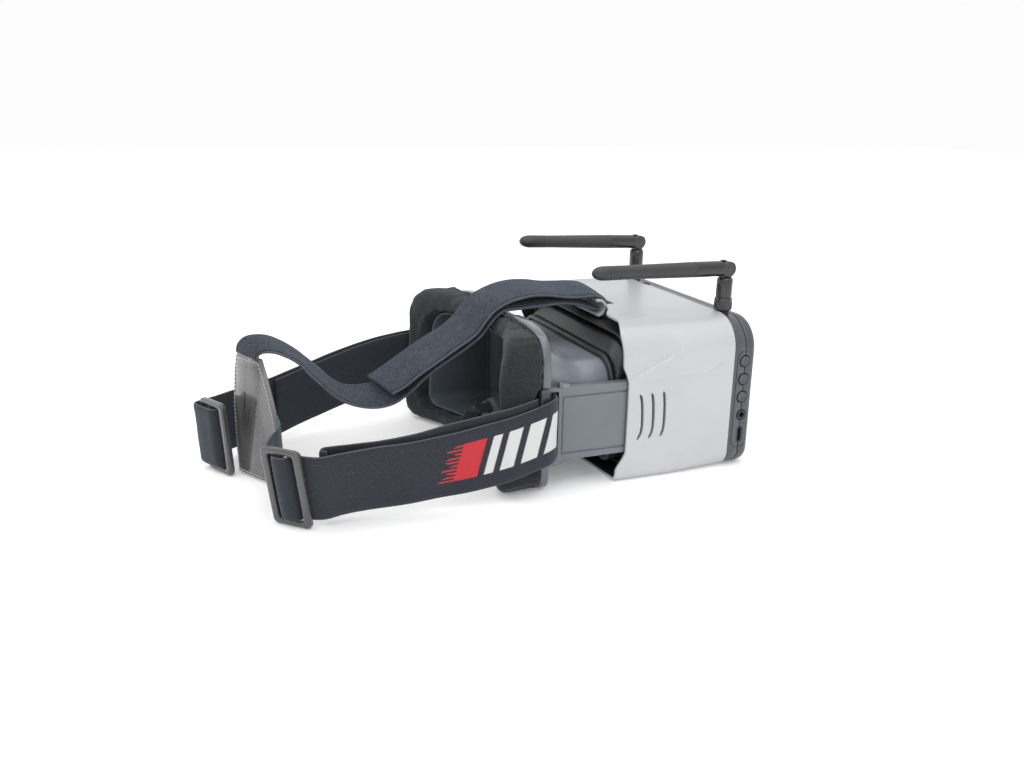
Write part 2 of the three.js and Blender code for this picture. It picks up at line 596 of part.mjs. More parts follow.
// ================================================================ leather back pad
{
  // rows of outer-face corner points: near edge, far edge, height
  const rows = [
    [1.0, [-20.4, 240.2], [9.6, 258.8]],
    [22, [-17.6, 239.8], [13.4, 259.0]],
    [38, [-15.0, 240.8], [15.3, 258.6]],
    [56, [-8.0, 243.8], [17.2, 256.8]],
    [65.5, [-2.9, 245.8], [18.3, 254.9]],
  ];
  const T = 4.0,
    K = 6;
  const rings = rows.map(([z, a, b]) => {
    const dx = b[0] - a[0],
      dy = b[1] - a[1],
      L = Math.hypot(dx, dy),
      nx = -dy / L,
      ny = dx / L;
    const out = [];
    for (let i = 0; i <= K; i++) {
      const f = i / K,
        bow = 1.6 * 4 * f * (1 - f);
      out.push([a[0] + dx * f + nx * bow, a[1] + dy * f + ny * bow, z]);
    }
    for (let i = K; i >= 0; i--) {
      const f = i / K,
        bow = 1.6 * 4 * f * (1 - f) - T;
      out.push([a[0] + dx * f + nx * bow, a[1] + dy * f + ny * bow, z]);
    }
    return out;
  });
  // the band ends meet the pad's two side edges
  const m = cut(
    loft(rings),
    ribbon(
      [[-22, 241.6, 39.6], [-12.6, 238.8, 39.6]],
      [[-30, 242.6, 2.6], [-17.6, 238.6, 2.6]],
      3.0,
    ),
  );
  add("back_pad", m, LEATHER);
}

// ================================================================ top strap
{
  // part that is threaded through the roof slot and doubled under itself: it bends as the frame slides
  const at = (pts, x) => pts.map(([y, z]) => [x, y, z]);
  const nearLoop = [[49.2, 81.5], [49.2, 86.4], [50.2, 89.5], [53, 90.9], [57, 91.1], [62, 90.6], [72, 90.5], [80, 90.9], [88, 91.8], [95.4, 92.4]];
  const farLoop = [[49.2, 81.5], [49.2, 86.8], [49.9, 90.2], [52.6, 92.0], [57, 92.7], [62, 92.9], [72, 93.1], [80, 93.5], [88, 94.4], [95.4, 94.9]];
  add("top_strap_loop", ribbon(at(nearLoop, -17.2), at(farLoop, 17.2), STRAP_T), VELVET);
  // from the lip over the face frame, down towards the back and up to the pad
  const nearE = [
    [-16.8, 96.0, 90.6], [-16.8, 102.0, 89.9], [-16.8, 108, 88.6], [-16.8, 113.4, 86.6], [-16.8, 118.0, 83.5], [-16.8, 122.4, 78.7], [-16.8, 127.8, 72.2], [-16.8, 138, 65.0],
    [-16.6, 149, 58.2], [-16.3, 160.4, 50.2], [-16, 169.5, 42.8], [-15.5, 176.4, 38.4], [-15, 184.3, 36.9], [-14.5, 193.2, 38], [-14, 200.9, 40.5],
    [-12.7, 208.1, 44.9], [-11.3, 214.1, 50.7], [-10, 220, 57.1], [-8.7, 224.8, 62.7], [-7.3, 231.7, 67.4], [-6, 237.7, 69.9],
    [-4.6, 242.8, 69.6], [-3.4, 245.2, 67.6], [-3.2, 245.2, 66.2],
  ];
  const farE = [
    [16.8, 96.0, 92.9], [16.8, 102.4, 92.2], [16.8, 108.6, 90.8], [16.8, 114.6, 88.6], [16.8, 120.2, 85.6], [16.8, 124.8, 81.4], [16.8, 129.8, 75.6], [16.8, 138.4, 68.2],
    [16.6, 150, 61.8], [16.3, 161.3, 53.6], [16, 170, 46.6], [15.5, 177, 43.2], [15, 184.6, 42.0], [14.5, 192.5, 41.9], [14, 199.6, 43.4],
    [14, 206.4, 48.2], [14.2, 212.4, 54.0], [14.5, 218.2, 59.6], [14.8, 223.8, 64.6], [15.4, 232.2, 70.2], [16, 240.4, 73.7],
    [16.9, 249.4, 73.6], [17.6, 253.2, 70.0], [18.0, 254.1, 66.4],
  ];
  add("top_strap", ribbon(nearE, farE, STRAP_T), VELVET);
  // second layer lying on top, down to its free end
  const nearLay = [[97, 93.1], [103, 92.4], [109.2, 91.2], [115.0, 89.0], [120.2, 85.6], [124.8, 80.6], [130.2, 74.2], [139.8, 67.4], [150.6, 60.7], [162, 54.0], [171.2, 47.4], [177.5, 44.6]];
  const farLay = [[97, 95.5], [103.2, 94.9], [109.8, 93.4], [116.2, 91.1], [122.2, 87.9], [127.2, 83.4], [132.0, 77.6], [140.2, 70.6], [151.7, 64.4], [163.2, 57.6], [173.1, 51.2], [182.4, 45.8]];
  add("top_strap_overlap", ribbon(at(nearLay, -17.4), at(farLay, 17.4), STRAP_T), VELVET);
}

// ================================================================ screen module
const DISP_SECTIONS = (g, y0, y1) => {
  // outline shrunk by g; front edge rounded
  const prof = [[-15.0, 3.4], [-14.6, 2.2], [-13.4, 0.8], [-11.6, 0.1], [-10, 0], [5, 0]];
  const at = (y) => {
    for (let i = 0; i + 1 < prof.length; i++)
      if (y >= prof[i][0] && y <= prof[i + 1][0]) {
        const f = (y - prof[i][0]) / (prof[i + 1][0] - prof[i][0]);
        return prof[i][1] + f * (prof[i + 1][1] - prof[i][1]);
      }
    return 0;
  };
  const ys = [y0, ...prof.map((p) => p[0]).filter((y) => y > y0 && y < y1), y1];
  return ys.map((y) => {
    const k = at(y) + g;
    return [y, DISP_HW - k, 0 + k, DISP_H - k, 18 - Math.min(k, 4), 6 - Math.min(k, 4)];
  });
};
{
  const bores = [];
  for (const z of BUTTON_Z) bores.push(cyl("x", BUTTON_D / 2 + 0.35, BUTTON_D / 2 + 0.35, -80, -65, -7.3, z, 24));
  bores.push(cyl("x", 2.9, 2.9, -80, -62, -8.0, 30.1, 20)); // video jack
  bores.push(box(-80, -62, -9.5, -6.1, 13.9, 23.1)); // charging port
  // front half: bezel with the screen's window facing inwards is the rear half's job
  let f = loftY(DISP_SECTIONS(0, DISP_FRONT, SEAM_Y - 0.2), 6);
  f = cut(f, loftY([
    [DISP_FRONT + 1.9, DISP_HW - 4.4, 4.4, DISP_H - 4.4, 14, 4],
    [SEAM_Y + 1, DISP_HW - 2.0, 2.0, DISP_H - 2.0, 16, 4],
  ], 6), ...bores);
  add("display_front_cover", f, DARK);
  let r = loftY(DISP_SECTIONS(0, SEAM_Y + 0.2, -0.3), 6);
  // locating rim inside the shell
  r = union(r, loftY([
    [-0.6, SHELL_HW - SHELL_WALL - 0.5, SHELL_WALL + 0.5, SHELL_H - SHELL_WALL - 0.6, SHELL_R_TOP - SHELL_WALL - 0.5, SHELL_R_BOT - SHELL_WALL - 0.5],
    [2.6, SHELL_HW - SHELL_WALL - 0.5, SHELL_WALL + 0.5, SHELL_H - SHELL_WALL - 0.6, SHELL_R_TOP - SHELL_WALL - 0.5, SHELL_R_BOT - SHELL_WALL - 0.5],
  ], 6));
  r = cut(
    r,
    loftY([
      [SEAM_Y - 1, DISP_HW - 2.0, 2.0, DISP_H - 2.0, 16, 4],
      [-2.2, DISP_HW - 2.0, 2.0, DISP_H - 2.0, 16, 4],
    ], 6),
    loftY([
      [-3, 55, 9, 75, 3, 3],
      [4, 57, 7, 77, 3, 3],
    ], 2),
    ...bores,
    cyl("z", 3.4, 3.4, 80, 90, -ANT_X, ANT_Y, 20),
    cyl("z", 3.4, 3.4, 80, 90, ANT_X, ANT_Y, 20),
    cyl("y", 1.3, 1.3, -3, 3, -62, 14, 10),
    cyl("y", 1.3, 1.3, -3, 3, 62, 14, 10),
    cyl("y", 1.3, 1.3, -3, 3, -62, 66, 10),
    cyl("y", 1.3, 1.3, -3, 3, 62, 66, 10),
  );
  add("display_rear_cover", r, DARK);
  // screen, its gasket, the board, the battery and the receiver can
  add("lcd_panel", box(-58, 58, -5.9, -2.6, 6.5, 77.5), SCREEN);
  const gasket = cut(box(-58.6, 58.6, -6.9, -6.2, 5.9, 78.1), box(-54, 54, -8, -5, 10, 74));
  add("lcd_gasket", gasket, FOAM);
  let pcb = box(-62.5, 52, -8.9, -7.4, 8, 72);
  add("main_board", pcb, BOARD);
  add("battery_pack", box(-40, 30, -12.6, -9.3, 14, 64), CELL);
  add("receiver_can", box(34, 50, -11.9, -9.3, 30, 60), STEEL);
  add("switch_strip", box(-64.8, -63.0, -9.6, -5.0, 36, 66), BLACK);
  // ports
  add("av_jack", cut(cyl("x", 2.6, 2.6, -71.9, -63.2, -8.0, 30.1, 18), cyl("x", 1.5, 1.5, -73, -66, -8.0, 30.1, 12)), BLACK);
  add("usb_port", cut(box(-71.4, -63.2, -9.2, -6.4, 14.2, 22.8), box(-73, -66, -8.6, -7.0, 14.9, 22.1)), STEEL);
  [[-62, 14], [62, 14], [-62, 66], [62, 66]].forEach(([x, z], i) =>
    add("cover_screw_" + (i + 1), union(cyl("y", 1.0, 1.0, -6.4, 2.8, x, z, 10), cyl("y", 2.0, 2.0, 2.7, 3.7, x, z, 12)), STEEL),
  );
}
BUTTON_Z.forEach((z, i) => {
  const r = BUTTON_D / 2;
  const g = new THREE.LatheGeometry(
    [[0, 0], [r, 0], [r, 5.0], [r - 0.35, 5.5], [r - 1.2, 5.75], [0, 5.85]].map(([a, b]) => new THREE.Vector2(a, b)),
    24,
  );
  // lathe axis turned to -X: base inside the housing, domed end outside
  place(g, (x, y, zz) => [-66.8 - y, -7.3 + x, z + zz]);
  add("button_" + ["up", "menu", "down"][i], solid(g), DARK);
});

// ================================================================ antennas
both((s, side) => {
  const ax = s * ANT_X;
  // threaded socket fixed in the roof of the screen module
  add(
    "antenna_socket_" + side,
    union(cyl("z", 3.1, 3.1, 80.6, 88.6, ax, ANT_Y, 16), cyl("z", 3.7, 3.7, 84.7, 85.6, ax, ANT_Y, 16)),
    BRASS,
  );
  // collar nut, turning with the antenna
  const nut = cut(
    cyl("z", 4.9, 4.9, 86.3, 93.2, ax, ANT_Y, 12),
    cyl("z", 3.4, 3.4, 85, 89.0, ax, ANT_Y, 16),
  );
  // stem and tongue
  const stem = union(
    cyl("z", 4.4, 4.4, 93.0, 104.0, ax, ANT_Y, 20),
    cyl("z", 4.4, 3.4, 103.9, 104.7, ax, ANT_Y, 20),
    box(ax - 2.0, ax + 2.0, ANT_Y - 3.0, ANT_Y + 3.0, 104, ANT_HINGE_Z),
    cyl("x", 3.0, 3.0, ax - 2.0, ax + 2.0, ANT_Y, ANT_HINGE_Z, 20),
  );
  const base = cut(union(nut, stem), cyl("x", 1.25, 1.25, ax - 3, ax + 3, ANT_Y, ANT_HINGE_Z, 14));
  add("antenna_base_" + side, base, BLACK);
  // whip: fork end round the tongue, rod to a rounded tip, lying to the rear
  const R = ANT_ROD_R;
  const prof = [[0, 0], [R, 0], [R - 0.1, 26], [R - 0.55, 64], [R - 0.4, 74], [R - 0.5, 77], [R - 1.5, 80.4], [R - 3.0, 82], [0, ANT_ROD]];
  const g = new THREE.LatheGeometry(prof.map(([a, b]) => new THREE.Vector2(a, b)), 18);
  place(g, (x, y, z) => [ax + x, ANT_Y + y, ANT_HINGE_Z - z]);
  let rod = union(solid(g), cyl("x", R, R, ax - R + 0.25, ax + R - 0.25, ANT_Y, ANT_HINGE_Z, 24));
  rod = rod.intersect(
    union(box(ax - 10, ax + 10, ANT_Y, ANT_Y + 100, 100, 120), cyl("y", R, R, ANT_Y - 6, ANT_Y + 1, ax, ANT_HINGE_Z, 18)),
  );
  rod = cut(
    rod,
    box(ax - 2.35, ax + 2.35, ANT_Y - 8, ANT_Y + 3.4, 100, 120),
    // flats beside the knuckle
    box(ax - 10, ax - R + 0.5, ANT_Y - 8, ANT_Y + 18, 100, 120),
    box(ax + R - 0.5, ax + 10, ANT_Y - 8, ANT_Y + 18, 100, 120),
    cyl("x", 1.25, 1.25, ax - 6, ax + 6, ANT_Y, ANT_HINGE_Z, 14),
  );
  add("antenna_rod_" + side, rod, BLACK);
  add("antenna_pin_" + side, cyl("x", 1.0, 1.0, ax - 3.9, ax + 3.9, ANT_Y, ANT_HINGE_Z, 14), STEEL);
});

export default root;
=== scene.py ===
import math

import bmesh
import bpy
import numpy as np
from mathutils import Matrix, Vector


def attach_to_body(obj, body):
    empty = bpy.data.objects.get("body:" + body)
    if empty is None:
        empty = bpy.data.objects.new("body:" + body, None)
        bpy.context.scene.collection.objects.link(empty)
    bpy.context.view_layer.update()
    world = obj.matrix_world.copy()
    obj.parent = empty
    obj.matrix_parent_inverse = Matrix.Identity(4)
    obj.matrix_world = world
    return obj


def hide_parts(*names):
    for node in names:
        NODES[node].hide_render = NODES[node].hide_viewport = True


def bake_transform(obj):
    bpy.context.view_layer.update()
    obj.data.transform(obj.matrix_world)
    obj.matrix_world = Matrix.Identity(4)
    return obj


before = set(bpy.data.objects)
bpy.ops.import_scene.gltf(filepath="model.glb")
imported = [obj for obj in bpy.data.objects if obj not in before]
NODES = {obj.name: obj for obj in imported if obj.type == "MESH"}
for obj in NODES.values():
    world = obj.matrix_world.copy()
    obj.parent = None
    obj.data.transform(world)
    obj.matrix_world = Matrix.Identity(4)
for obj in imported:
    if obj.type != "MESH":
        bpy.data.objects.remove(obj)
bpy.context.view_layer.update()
SC = bpy.context.scene
Y0 = 35.0
SIDES = ((-1, "right"), (1, "left"))


def W(p):
    return (p[0] / 1000.0, (p[1] - Y0) / 1000.0, p[2] / 1000.0)


# ------------------------------------------------------------------ node-tree helpers
class NT:
    def __init__(self, name):
        m = bpy.data.materials.new(name)
        m.use_nodes = True
        self.m, self.t = m, m.node_tree
        self.t.nodes.clear()
        self.out = self.t.nodes.new("ShaderNodeOutputMaterial")
        self.b = self.t.nodes.new("ShaderNodeBsdfPrincipled")
        self.t.links.new(self.b.outputs[0], self.out.inputs[0])

    def n(self, kind, **kw):
        nd = self.t.nodes.new("ShaderNode" + kind)
        for k, v in kw.items():
            setattr(nd, k, v)
        return nd

    def put(self, sock, v):
        if v is None:
            return
        if isinstance(v, bpy.types.NodeSocket):
            self.t.links.new(v, sock)
        elif isinstance(v, (tuple, list)) and len(v) == 3 and sock.type == "RGBA":
            sock.default_value = (*v, 1.0)
        else:
            sock.default_value = v

    def pos(self, scale=1.0):
        c = self.n("TexCoord").outputs["Object"]
        if scale == 1.0:
            return c
        m = self.n("Mapping")
        self.put(m.inputs["Vector"], c)
        m.inputs["Scale"].default_value = scale if isinstance(scale, (tuple, list)) else (scale,) * 3
        return m.outputs[0]

    def uv(self):
        return self.n("TexCoord").outputs["UV"]

    def xyz(self, v):
        s = self.n("SeparateXYZ")
        self.put(s.inputs[0], v)
        return s.outputs

    def math(self, op, a, b=None, c=None, clamp=False):
        m = self.n("Math", operation=op, use_clamp=clamp)
        self.put(m.inputs[0], a)
        self.put(m.inputs[1], b)
        self.put(m.inputs[2], c)
        return m.outputs[0]

    def noise(self, vec, scale, detail=3.0, rough=0.5, dist=0.0):
        n = self.n("TexNoise")
        self.put(n.inputs["Vector"], vec)
        n.inputs["Scale"].default_value = scale
        n.inputs["Detail"].default_value = detail
        n.inputs["Roughness"].default_value = rough
        n.inputs["Distortion"].default_value = dist
        return n.outputs["Fac"] if "Fac" in n.outputs else n.outputs[0]

    def voronoi(self, vec, scale, feature="F1"):
        n = self.n("TexVoronoi", feature=feature)
        self.put(n.inputs["Vector"], vec)
        n.inputs["Scale"].default_value = scale
        return n.outputs["Distance"]

    def range(self, v, a, b, c, d, smooth=True):
        m = self.n("MapRange", interpolation_type="SMOOTHSTEP" if smooth else "LINEAR")
        self.put(m.inputs["Value"], v)
        m.inputs["From Min"].default_value = a
        m.inputs["From Max"].default_value = b
        m.inputs["To Min"].default_value = c
        m.inputs["To Max"].default_value = d
        return m.outputs[0]

    def mix(self, f, a, b):
        m = self.n("Mix", data_type="RGBA")
        self.put(m.inputs["Factor"], f)
        self.put(m.inputs[6], a)
        self.put(m.inputs[7], b)
        return m.outputs[2]

    def bump(self, h, strength, dist, normal=None):
        b = self.n("Bump")
        self.put(b.inputs["Height"], h)
        b.inputs["Strength"].default_value = strength
        b.inputs["Distance"].default_value = dist
        if normal is not None:
            self.put(b.inputs["Normal"], normal)
        return b.outputs[0]

    def edge(self, lo=0.52, hi=0.62):
        return self.range(self.n("NewGeometry").outputs["Pointiness"], lo, hi, 0.0, 1.0)

    def done(self, base=None, rough=None, metal=None, normal=None, **kw):
        names = {
            "coat": "Coat Weight", "coat_rough": "Coat Roughness", "sheen": "Sheen Weight", "sheen_rough": "Sheen Roughness",
            "sheen_tint": "Sheen Tint", "ior": "IOR", "spec": "Specular IOR Level", "trans": "Transmission Weight",
            "aniso": "Anisotropic", "sub": "Subsurface Weight",
        }
        self.put(self.b.inputs["Base Color"], base)
        self.put(self.b.inputs["Roughness"], rough)
        self.put(self.b.inputs["Metallic"], metal)
        self.put(self.b.inputs["Normal"], normal)
        for k, v in kw.items():
            self.put(self.b.inputs[names[k]], v)
        return self.m


def plastic(name, col, rough, grain=1500.0, bump=0.25, edge=0.3, coat=0.0, vary=0.06, dust=0.0, metal=0.0, coat_rough=0.2):
    t = NT(name)
    p = t.pos()
    big = t.noise(p, 22.0, 4.0, 0.6)
    fine = t.noise(p, grain, 2.0, 0.6)
    dark = tuple(c * (1 - vary) for c in col)
    lite = tuple(min(1.0, c * (1 + vary)) for c in col)
    c = t.mix(t.range(big, 0.3, 0.7, 0, 1), dark, lite)
    # sharp convex edges mixed to a lighter colour: painted edge highlight
    if edge:
        c = t.mix(t.math("MULTIPLY", t.edge(), edge), c, tuple(min(1.0, v * 1.7 + 0.05) for v in col))
    if dust:
        d = t.math("MULTIPLY", t.range(t.noise(p, 70.0, 5.0, 0.7), 0.55, 0.8, 0, 1), dust)
        c = t.mix(d, c, (0.45, 0.44, 0.42))
    r = t.range(t.noise(p, 60.0, 5.0, 0.65), 0.3, 0.7, rough * 0.88, min(1.0, rough * 1.14))
    nrm = t.bump(fine, bump, 0.00006)
    return t.done(c, r, metal, nrm, coat=coat, coat_rough=coat_rough)


def mat_shell():
    t = NT("shell_satin_silver")
    p = t.pos()
    flake = t.voronoi(p, 5200.0)
    cloud = t.noise(p, 16.0, 3.0, 0.55)
    base = t.mix(t.range(cloud, 0.3, 0.7, 0, 1), (0.430, 0.446, 0.454), (0.462, 0.478, 0.486))
    base = t.mix(t.math("MULTIPLY", t.range(flake, 0.25, 0.6, 0, 1), 0.10), base, (0.66, 0.68, 0.69))
    scuff = t.range(t.noise(t.pos((18.0, 160.0, 160.0)), 3.0, 6.0, 0.7), 0.62, 0.80, 0.0, 1.0)
    base = t.mix(t.math("MULTIPLY", scuff, 0.06), base, (0.33, 0.34, 0.35))
    # lighter colour on sharp convex edges and vent rims: painted edge highlight
    base = t.mix(t.math("MULTIPLY", t.edge(0.53, 0.66), 0.35), base, (0.74, 0.75, 0.76))
    rough = t.range(t.noise(p, 45.0, 5.0, 0.65), 0.3, 0.7, 0.36, 0.46)
    peel = t.noise(p, 620.0, 2.0, 0.5)
    nrm = t.bump(peel, 0.10, 0.00005, t.bump(flake, 0.05, 0.00003))
    return t.done(base, rough, 0.18, nrm, coat=0.25, coat_rough=0.28)


def mat_knit():
    t = NT("foam_knit")
    p = t.pos()
    s = t.xyz(p)
    # herringbone-like knit from two crossed families of ribs
    k = 2 * math.pi / 0.0012
    a = t.math("SINE", t.math("MULTIPLY", t.math("ADD", t.math("ADD", s[0], s[1]), t.math("MULTIPLY", s[2], 0.55)), k))
    b = t.math("SINE", t.math("MULTIPLY", t.math("ADD", t.math("SUBTRACT", s[0], s[1]), t.math("MULTIPLY", s[2], 1.5)), k * 0.7))
    loops = t.math("MULTIPLY", t.math("ADD", a, 1.0), t.math("ADD", b, 1.0))
    holes = t.range(loops, 0.2, 2.2, 0.0, 1.0)
    fuzz = t.noise(p, 1400.0, 4.0, 0.7)
    c = t.mix(holes, (0.006, 0.0065, 0.007), (0.040, 0.044, 0.048))
    c = t.mix(t.math("MULTIPLY", t.range(fuzz, 0.5, 0.8, 0, 1), 0.55), c, (0.115, 0.125, 0.135))
    c = t.mix(t.math("MULTIPLY", t.range(t.noise(p, 30.0, 3.0, 0.5), 0.4, 0.7, 0, 1), 0.30), c, (0.018, 0.019, 0.021))
    h = t.math("ADD", t.math("MULTIPLY", loops, 0.2), t.math("MULTIPLY", fuzz, 0.4))
    return t.done(c, t.range(fuzz, 0.3, 0.7, 0.82, 0.98), 0.0, t.bump(h, 0.75, 0.0005), sheen=0.25, sheen_rough=0.5, sheen_tint=(0.5, 0.52, 0.56), spec=0.25)


def mat_elastic(name="elastic_web", bars=False):
    t = NT(name)
    u = t.xyz(t.uv())
    s, v = u[0], u[1]
    # v: 0..1 across the band, s: metres along it
    rows = t.math("SINE", t.math("MULTIPLY", v, 2 * math.pi * 26))
    shift = t.math("MULTIPLY", t.math("SIGN", rows), 0.00035)
    cols = t.math("SINE", t.math("MULTIPLY", t.math("ADD", s, shift), 2 * math.pi / 0.0014))
    weave = t.math("MULTIPLY", t.math("ABSOLUTE", rows), t.range(cols, -1, 1, 0.35, 1.0, False))
    p = t.pos()
    fuzz = t.noise(p, 2200.0, 3.0, 0.7)
    c = t.mix(t.range(weave, 0.1, 0.9, 0, 1), (0.010, 0.012, 0.016), (0.040, 0.046, 0.056))
    c = t.mix(t.math("MULTIPLY", t.range(t.noise(p, 900.0, 3.0, 0.8), 0.55, 0.8, 0, 1), 0.40), c, (0.12, 0.13, 0.15))
    c = t.mix(t.math("MULTIPLY", t.range(t.noise(p, 26.0, 3.0, 0.6), 0.4, 0.75, 0, 1), 0.4), c, (0.026, 0.030, 0.038))
    if bars:
        mm = t.math("MULTIPLY", s, 1000.0)
        zig = t.math("MULTIPLY", t.math("SUBTRACT", t.math("FRACT", t.math("MULTIPLY", v, 30.0)), 0.5), 0.55)
        sl = t.math("ADD", t.math("ADD", mm, t.math("MULTIPLY", t.math("SUBTRACT", v, 0.5), 9.0)), zig)

        def band(x, a, b):
            return t.math("MULTIPLY", t.math("GREATER_THAN", x, a), t.math("LESS_THAN", x, b))

        white = None
        for a, b, v0, v1 in ((5.5, 15.5, 0.24, 0.80), (19.5, 28.5, 0.24, 0.80), (32.5, 40.0, 0.24, 0.80), (43.6, 48.4, 0.24, 0.80)):
            q = t.math("MULTIPLY", band(sl, a, b), band(v, v0, v1))
            white = q if white is None else t.math("MAXIMUM", white, q)
        red = t.math("MULTIPLY", band(sl, 52.0, 64.0), band(v, 0.24, 0.80))
        streak = t.math("MULTIPLY", band(sl, 52.5, 72.0), t.math("MULTIPLY", band(v, 0.24, 0.80), t.math("GREATER_THAN", t.math("SINE", t.math("MULTIPLY", v, 2 * math.pi * 17.0)), 0.1)))
        fade = t.math("LESS_THAN", t.math("ADD", sl, t.math("MULTIPLY", t.math("SINE", t.math("MULTIPLY", v, 41.0)), 2.6)), 69.5)
        red = t.math("MAXIMUM", red, t.math("MULTIPLY", streak, fade))
        c = t.mix(t.math("MULTIPLY", white, 0.93), c, t.mix(weave, (0.50, 0.50, 0.50), (0.82, 0.82, 0.82)))
        c = t.mix(t.math("MULTIPLY", red, 0.95), c, t.mix(weave, (0.42, 0.020, 0.028), (0.66, 0.045, 0.055)))
    ed = t.math("ABSOLUTE", t.math("SUBTRACT", v, 0.5))
    selv = t.range(ed, 0.480, 0.496, 0.0, 1.0)
    c = t.mix(t.math("MULTIPLY", selv, 0.55), c, (0.10, 0.11, 0.12))
    ribs = t.range(ed, 0.455, 0.462, 0.0, 1.0)
    h = t.math("ADD", t.math("MULTIPLY", weave, t.range(ribs, 0, 1, 1.0, 0.6)), t.math("MULTIPLY", fuzz, 0.5))
    return t.done(c, t.range(fuzz, 0.3, 0.7, 0.78, 0.95), 0.0, t.bump(h, 0.55, 0.00035), sheen=0.35, sheen_rough=0.45, sheen_tint=(0.45, 0.52, 0.62), spec=0.25)


def mat_velvet():
    t = NT("strap_brushed_loop")
    p = t.pos()
    u = t.xyz(t.uv())
    nap = t.noise(p, 950.0, 5.0, 0.75)
    fine = t.noise(p, 3000.0, 3.0, 0.7)
    patch = t.noise(p, 140.0, 4.0, 0.6)
    c = t.mix(t.range(nap, 0.38, 0.66, 0, 1), (0.010, 0.013, 0.018), (0.052, 0.061, 0.080))
    c = t.mix(t.math("MULTIPLY", t.range(patch, 0.45, 0.75, 0, 1), 0.35), c, (0.070, 0.082, 0.105))
    c = t.mix(t.math("MULTIPLY", t.range(fine, 0.56, 0.75, 0, 1), 0.6), c, (0.24, 0.26, 0.31))
    ed = t.math("ABSOLUTE", t.math("SUBTRACT", u[1], 0.5))
    c = t.mix(t.math("MULTIPLY", t.range(ed, 0.478, 0.494, 0, 1), 0.6), c, (0.13, 0.14, 0.155))
    c = t.mix(t.math("MULTIPLY", t.math("MULTIPLY", t.range(ed, 0.440, 0.447, 0, 1), t.range(ed, 0.447, 0.456, 1, 0)), 0.6), c, (0.006, 0.008, 0.012))
    h = t.math("ADD", nap, t.math("MULTIPLY", fine, 0.7))
    return t.done(c, t.range(nap, 0.3, 0.7, 0.85, 1.0), 0.0, t.bump(h, 0.65, 0.0004), sheen=0.30, sheen_rough=0.40, sheen_tint=(0.46, 0.52, 0.64), spec=0.15)


def mat_hook():
    t = NT("strap_hook_side")
    p = t.pos()
    pile = t.voronoi(p, 1500.0)
    c = t.mix(t.range(pile, 0.1, 0.6, 0, 1), (0.030, 0.034, 0.042), (0.004, 0.005, 0.007))
    return t.done(c, 0.7, 0.0, t.bump(pile, 0.9, 0.0006), sheen=0.2)


def mat_leather():
    t = NT("pad_polished_leather")
    p = t.pos()
    cell = t.voronoi(p, 1150.0, "DISTANCE_TO_EDGE")
    folds = t.noise(t.pos((1.0, 1.0, 0.45)), 130.0, 5.0, 0.6, 0.8)
    painted_reflection_gloss = t.noise(t.pos((1.0, 1.0, 0.2)), 60.0, 3.0, 0.5, 0.2)
    # colour darker in the fold hollows and lighter on the crests: painted fold shading
    c = t.mix(t.range(folds, 0.3, 0.7, 0, 1), (0.008, 0.008, 0.009), (0.026, 0.025, 0.027))
    # light silver streaks mixed into the base colour: painted reflection; the same noise also varies the roughness
    c = t.mix(t.math("MULTIPLY", t.range(painted_reflection_gloss, 0.40, 0.72, 0, 1), 0.42), c, (0.28, 0.276, 0.28))
    h = t.math("ADD", t.math("MULTIPLY", t.range(cell, 0.0, 0.12, 0.0, 1.0), 0.25), t.math("MULTIPLY", folds, 1.1))
    r = t.range(painted_reflection_gloss, 0.3, 0.7, 0.17, 0.36)
    return t.done(c, r, 0.0, t.bump(h, 0.45, 0.0012), coat=1.0, coat_rough=0.10, spec=0.9)


def mat_thread(col=(0.52, 0.52, 0.53)):
    t = NT("pad_thread")
    tw = t.n("TexWave", wave_type="BANDS", bands_direction="DIAGONAL")
    t.put(tw.inputs["Vector"], t.pos())
    tw.inputs["Scale"].default_value = 900.0
    c = t.mix(tw.outputs["Fac"], tuple(v * 0.6 for v in col), col)
    return t.done(c, 0.6, 0.0, t.bump(tw.outputs["Fac"], 0.4, 0.0001), sheen=0.3)


def mat_board():
    t = NT("circuit_board")
    p = t.pos()
    g = t.n("TexBrick")
    t.put(g.inputs["Vector"], p)
    g.inputs["Scale"].default_value = 260.0
    c = t.mix(g.outputs["Fac"], (0.010, 0.085, 0.040), (0.035, 0.15, 0.075))
    return t.done(c, 0.42, 0.0, t.bump(g.outputs["Fac"], 0.2, 0.00008), coat=0.4)


def mat_glass(name, col, rough):
    t = NT(name)
    p = t.pos()
    smudge = t.noise(p, 35.0, 4.0, 0.6)
    return t.done(t.mix(smudge, tuple(c * 0.9 for c in col), col), t.range(smudge, 0.3, 0.7, rough, rough + 0.07), 0.0,
                  t.bump(t.noise(p, 300.0, 2.0), 0.03, 0.00003), coat=0.5, coat_rough=0.05)


def mat_lens():
    t = NT("ribbed_lens")
    s = t.xyz(t.pos())
    r = t.math("SQRT", t.math("ADD", t.math("MULTIPLY", s[0], s[0]), t.math("POWER", t.math("SUBTRACT", s[2], 0.0415), 2.0)))
    saw = t.math("FRACT", t.math("MULTIPLY", r, 1000.0 / 0.7))
    c = t.mix(t.noise(t.pos(), 40.0), (0.75, 0.82, 0.84), (0.85, 0.90, 0.92))
    return t.done(c, t.range(t.noise(t.pos(), 50.0), 0.3, 0.7, 0.05, 0.12), 0.0, t.bump(saw, 0.35, 0.0002), trans=0.85, ior=1.49)


def mat_metal(name, col, rough):
    t = NT(name)
    p = t.pos()
    brush = t.noise(t.pos((1.0, 12.0, 1.0)), 700.0, 3.0, 0.7)
    c = t.mix(t.range(brush, 0.3, 0.7, 0, 1), tuple(v * 0.8 for v in col), col)
    c = t.mix(t.math("MULTIPLY", t.range(t.noise(p, 180.0, 4.0), 0.55, 0.75, 0, 1), 0.3), c, tuple(v * 0.55 for v in col))
    return t.done(c, t.range(brush, 0.3, 0.7, rough, rough + 0.15), 1.0, t.bump(brush, 0.12, 0.00005))


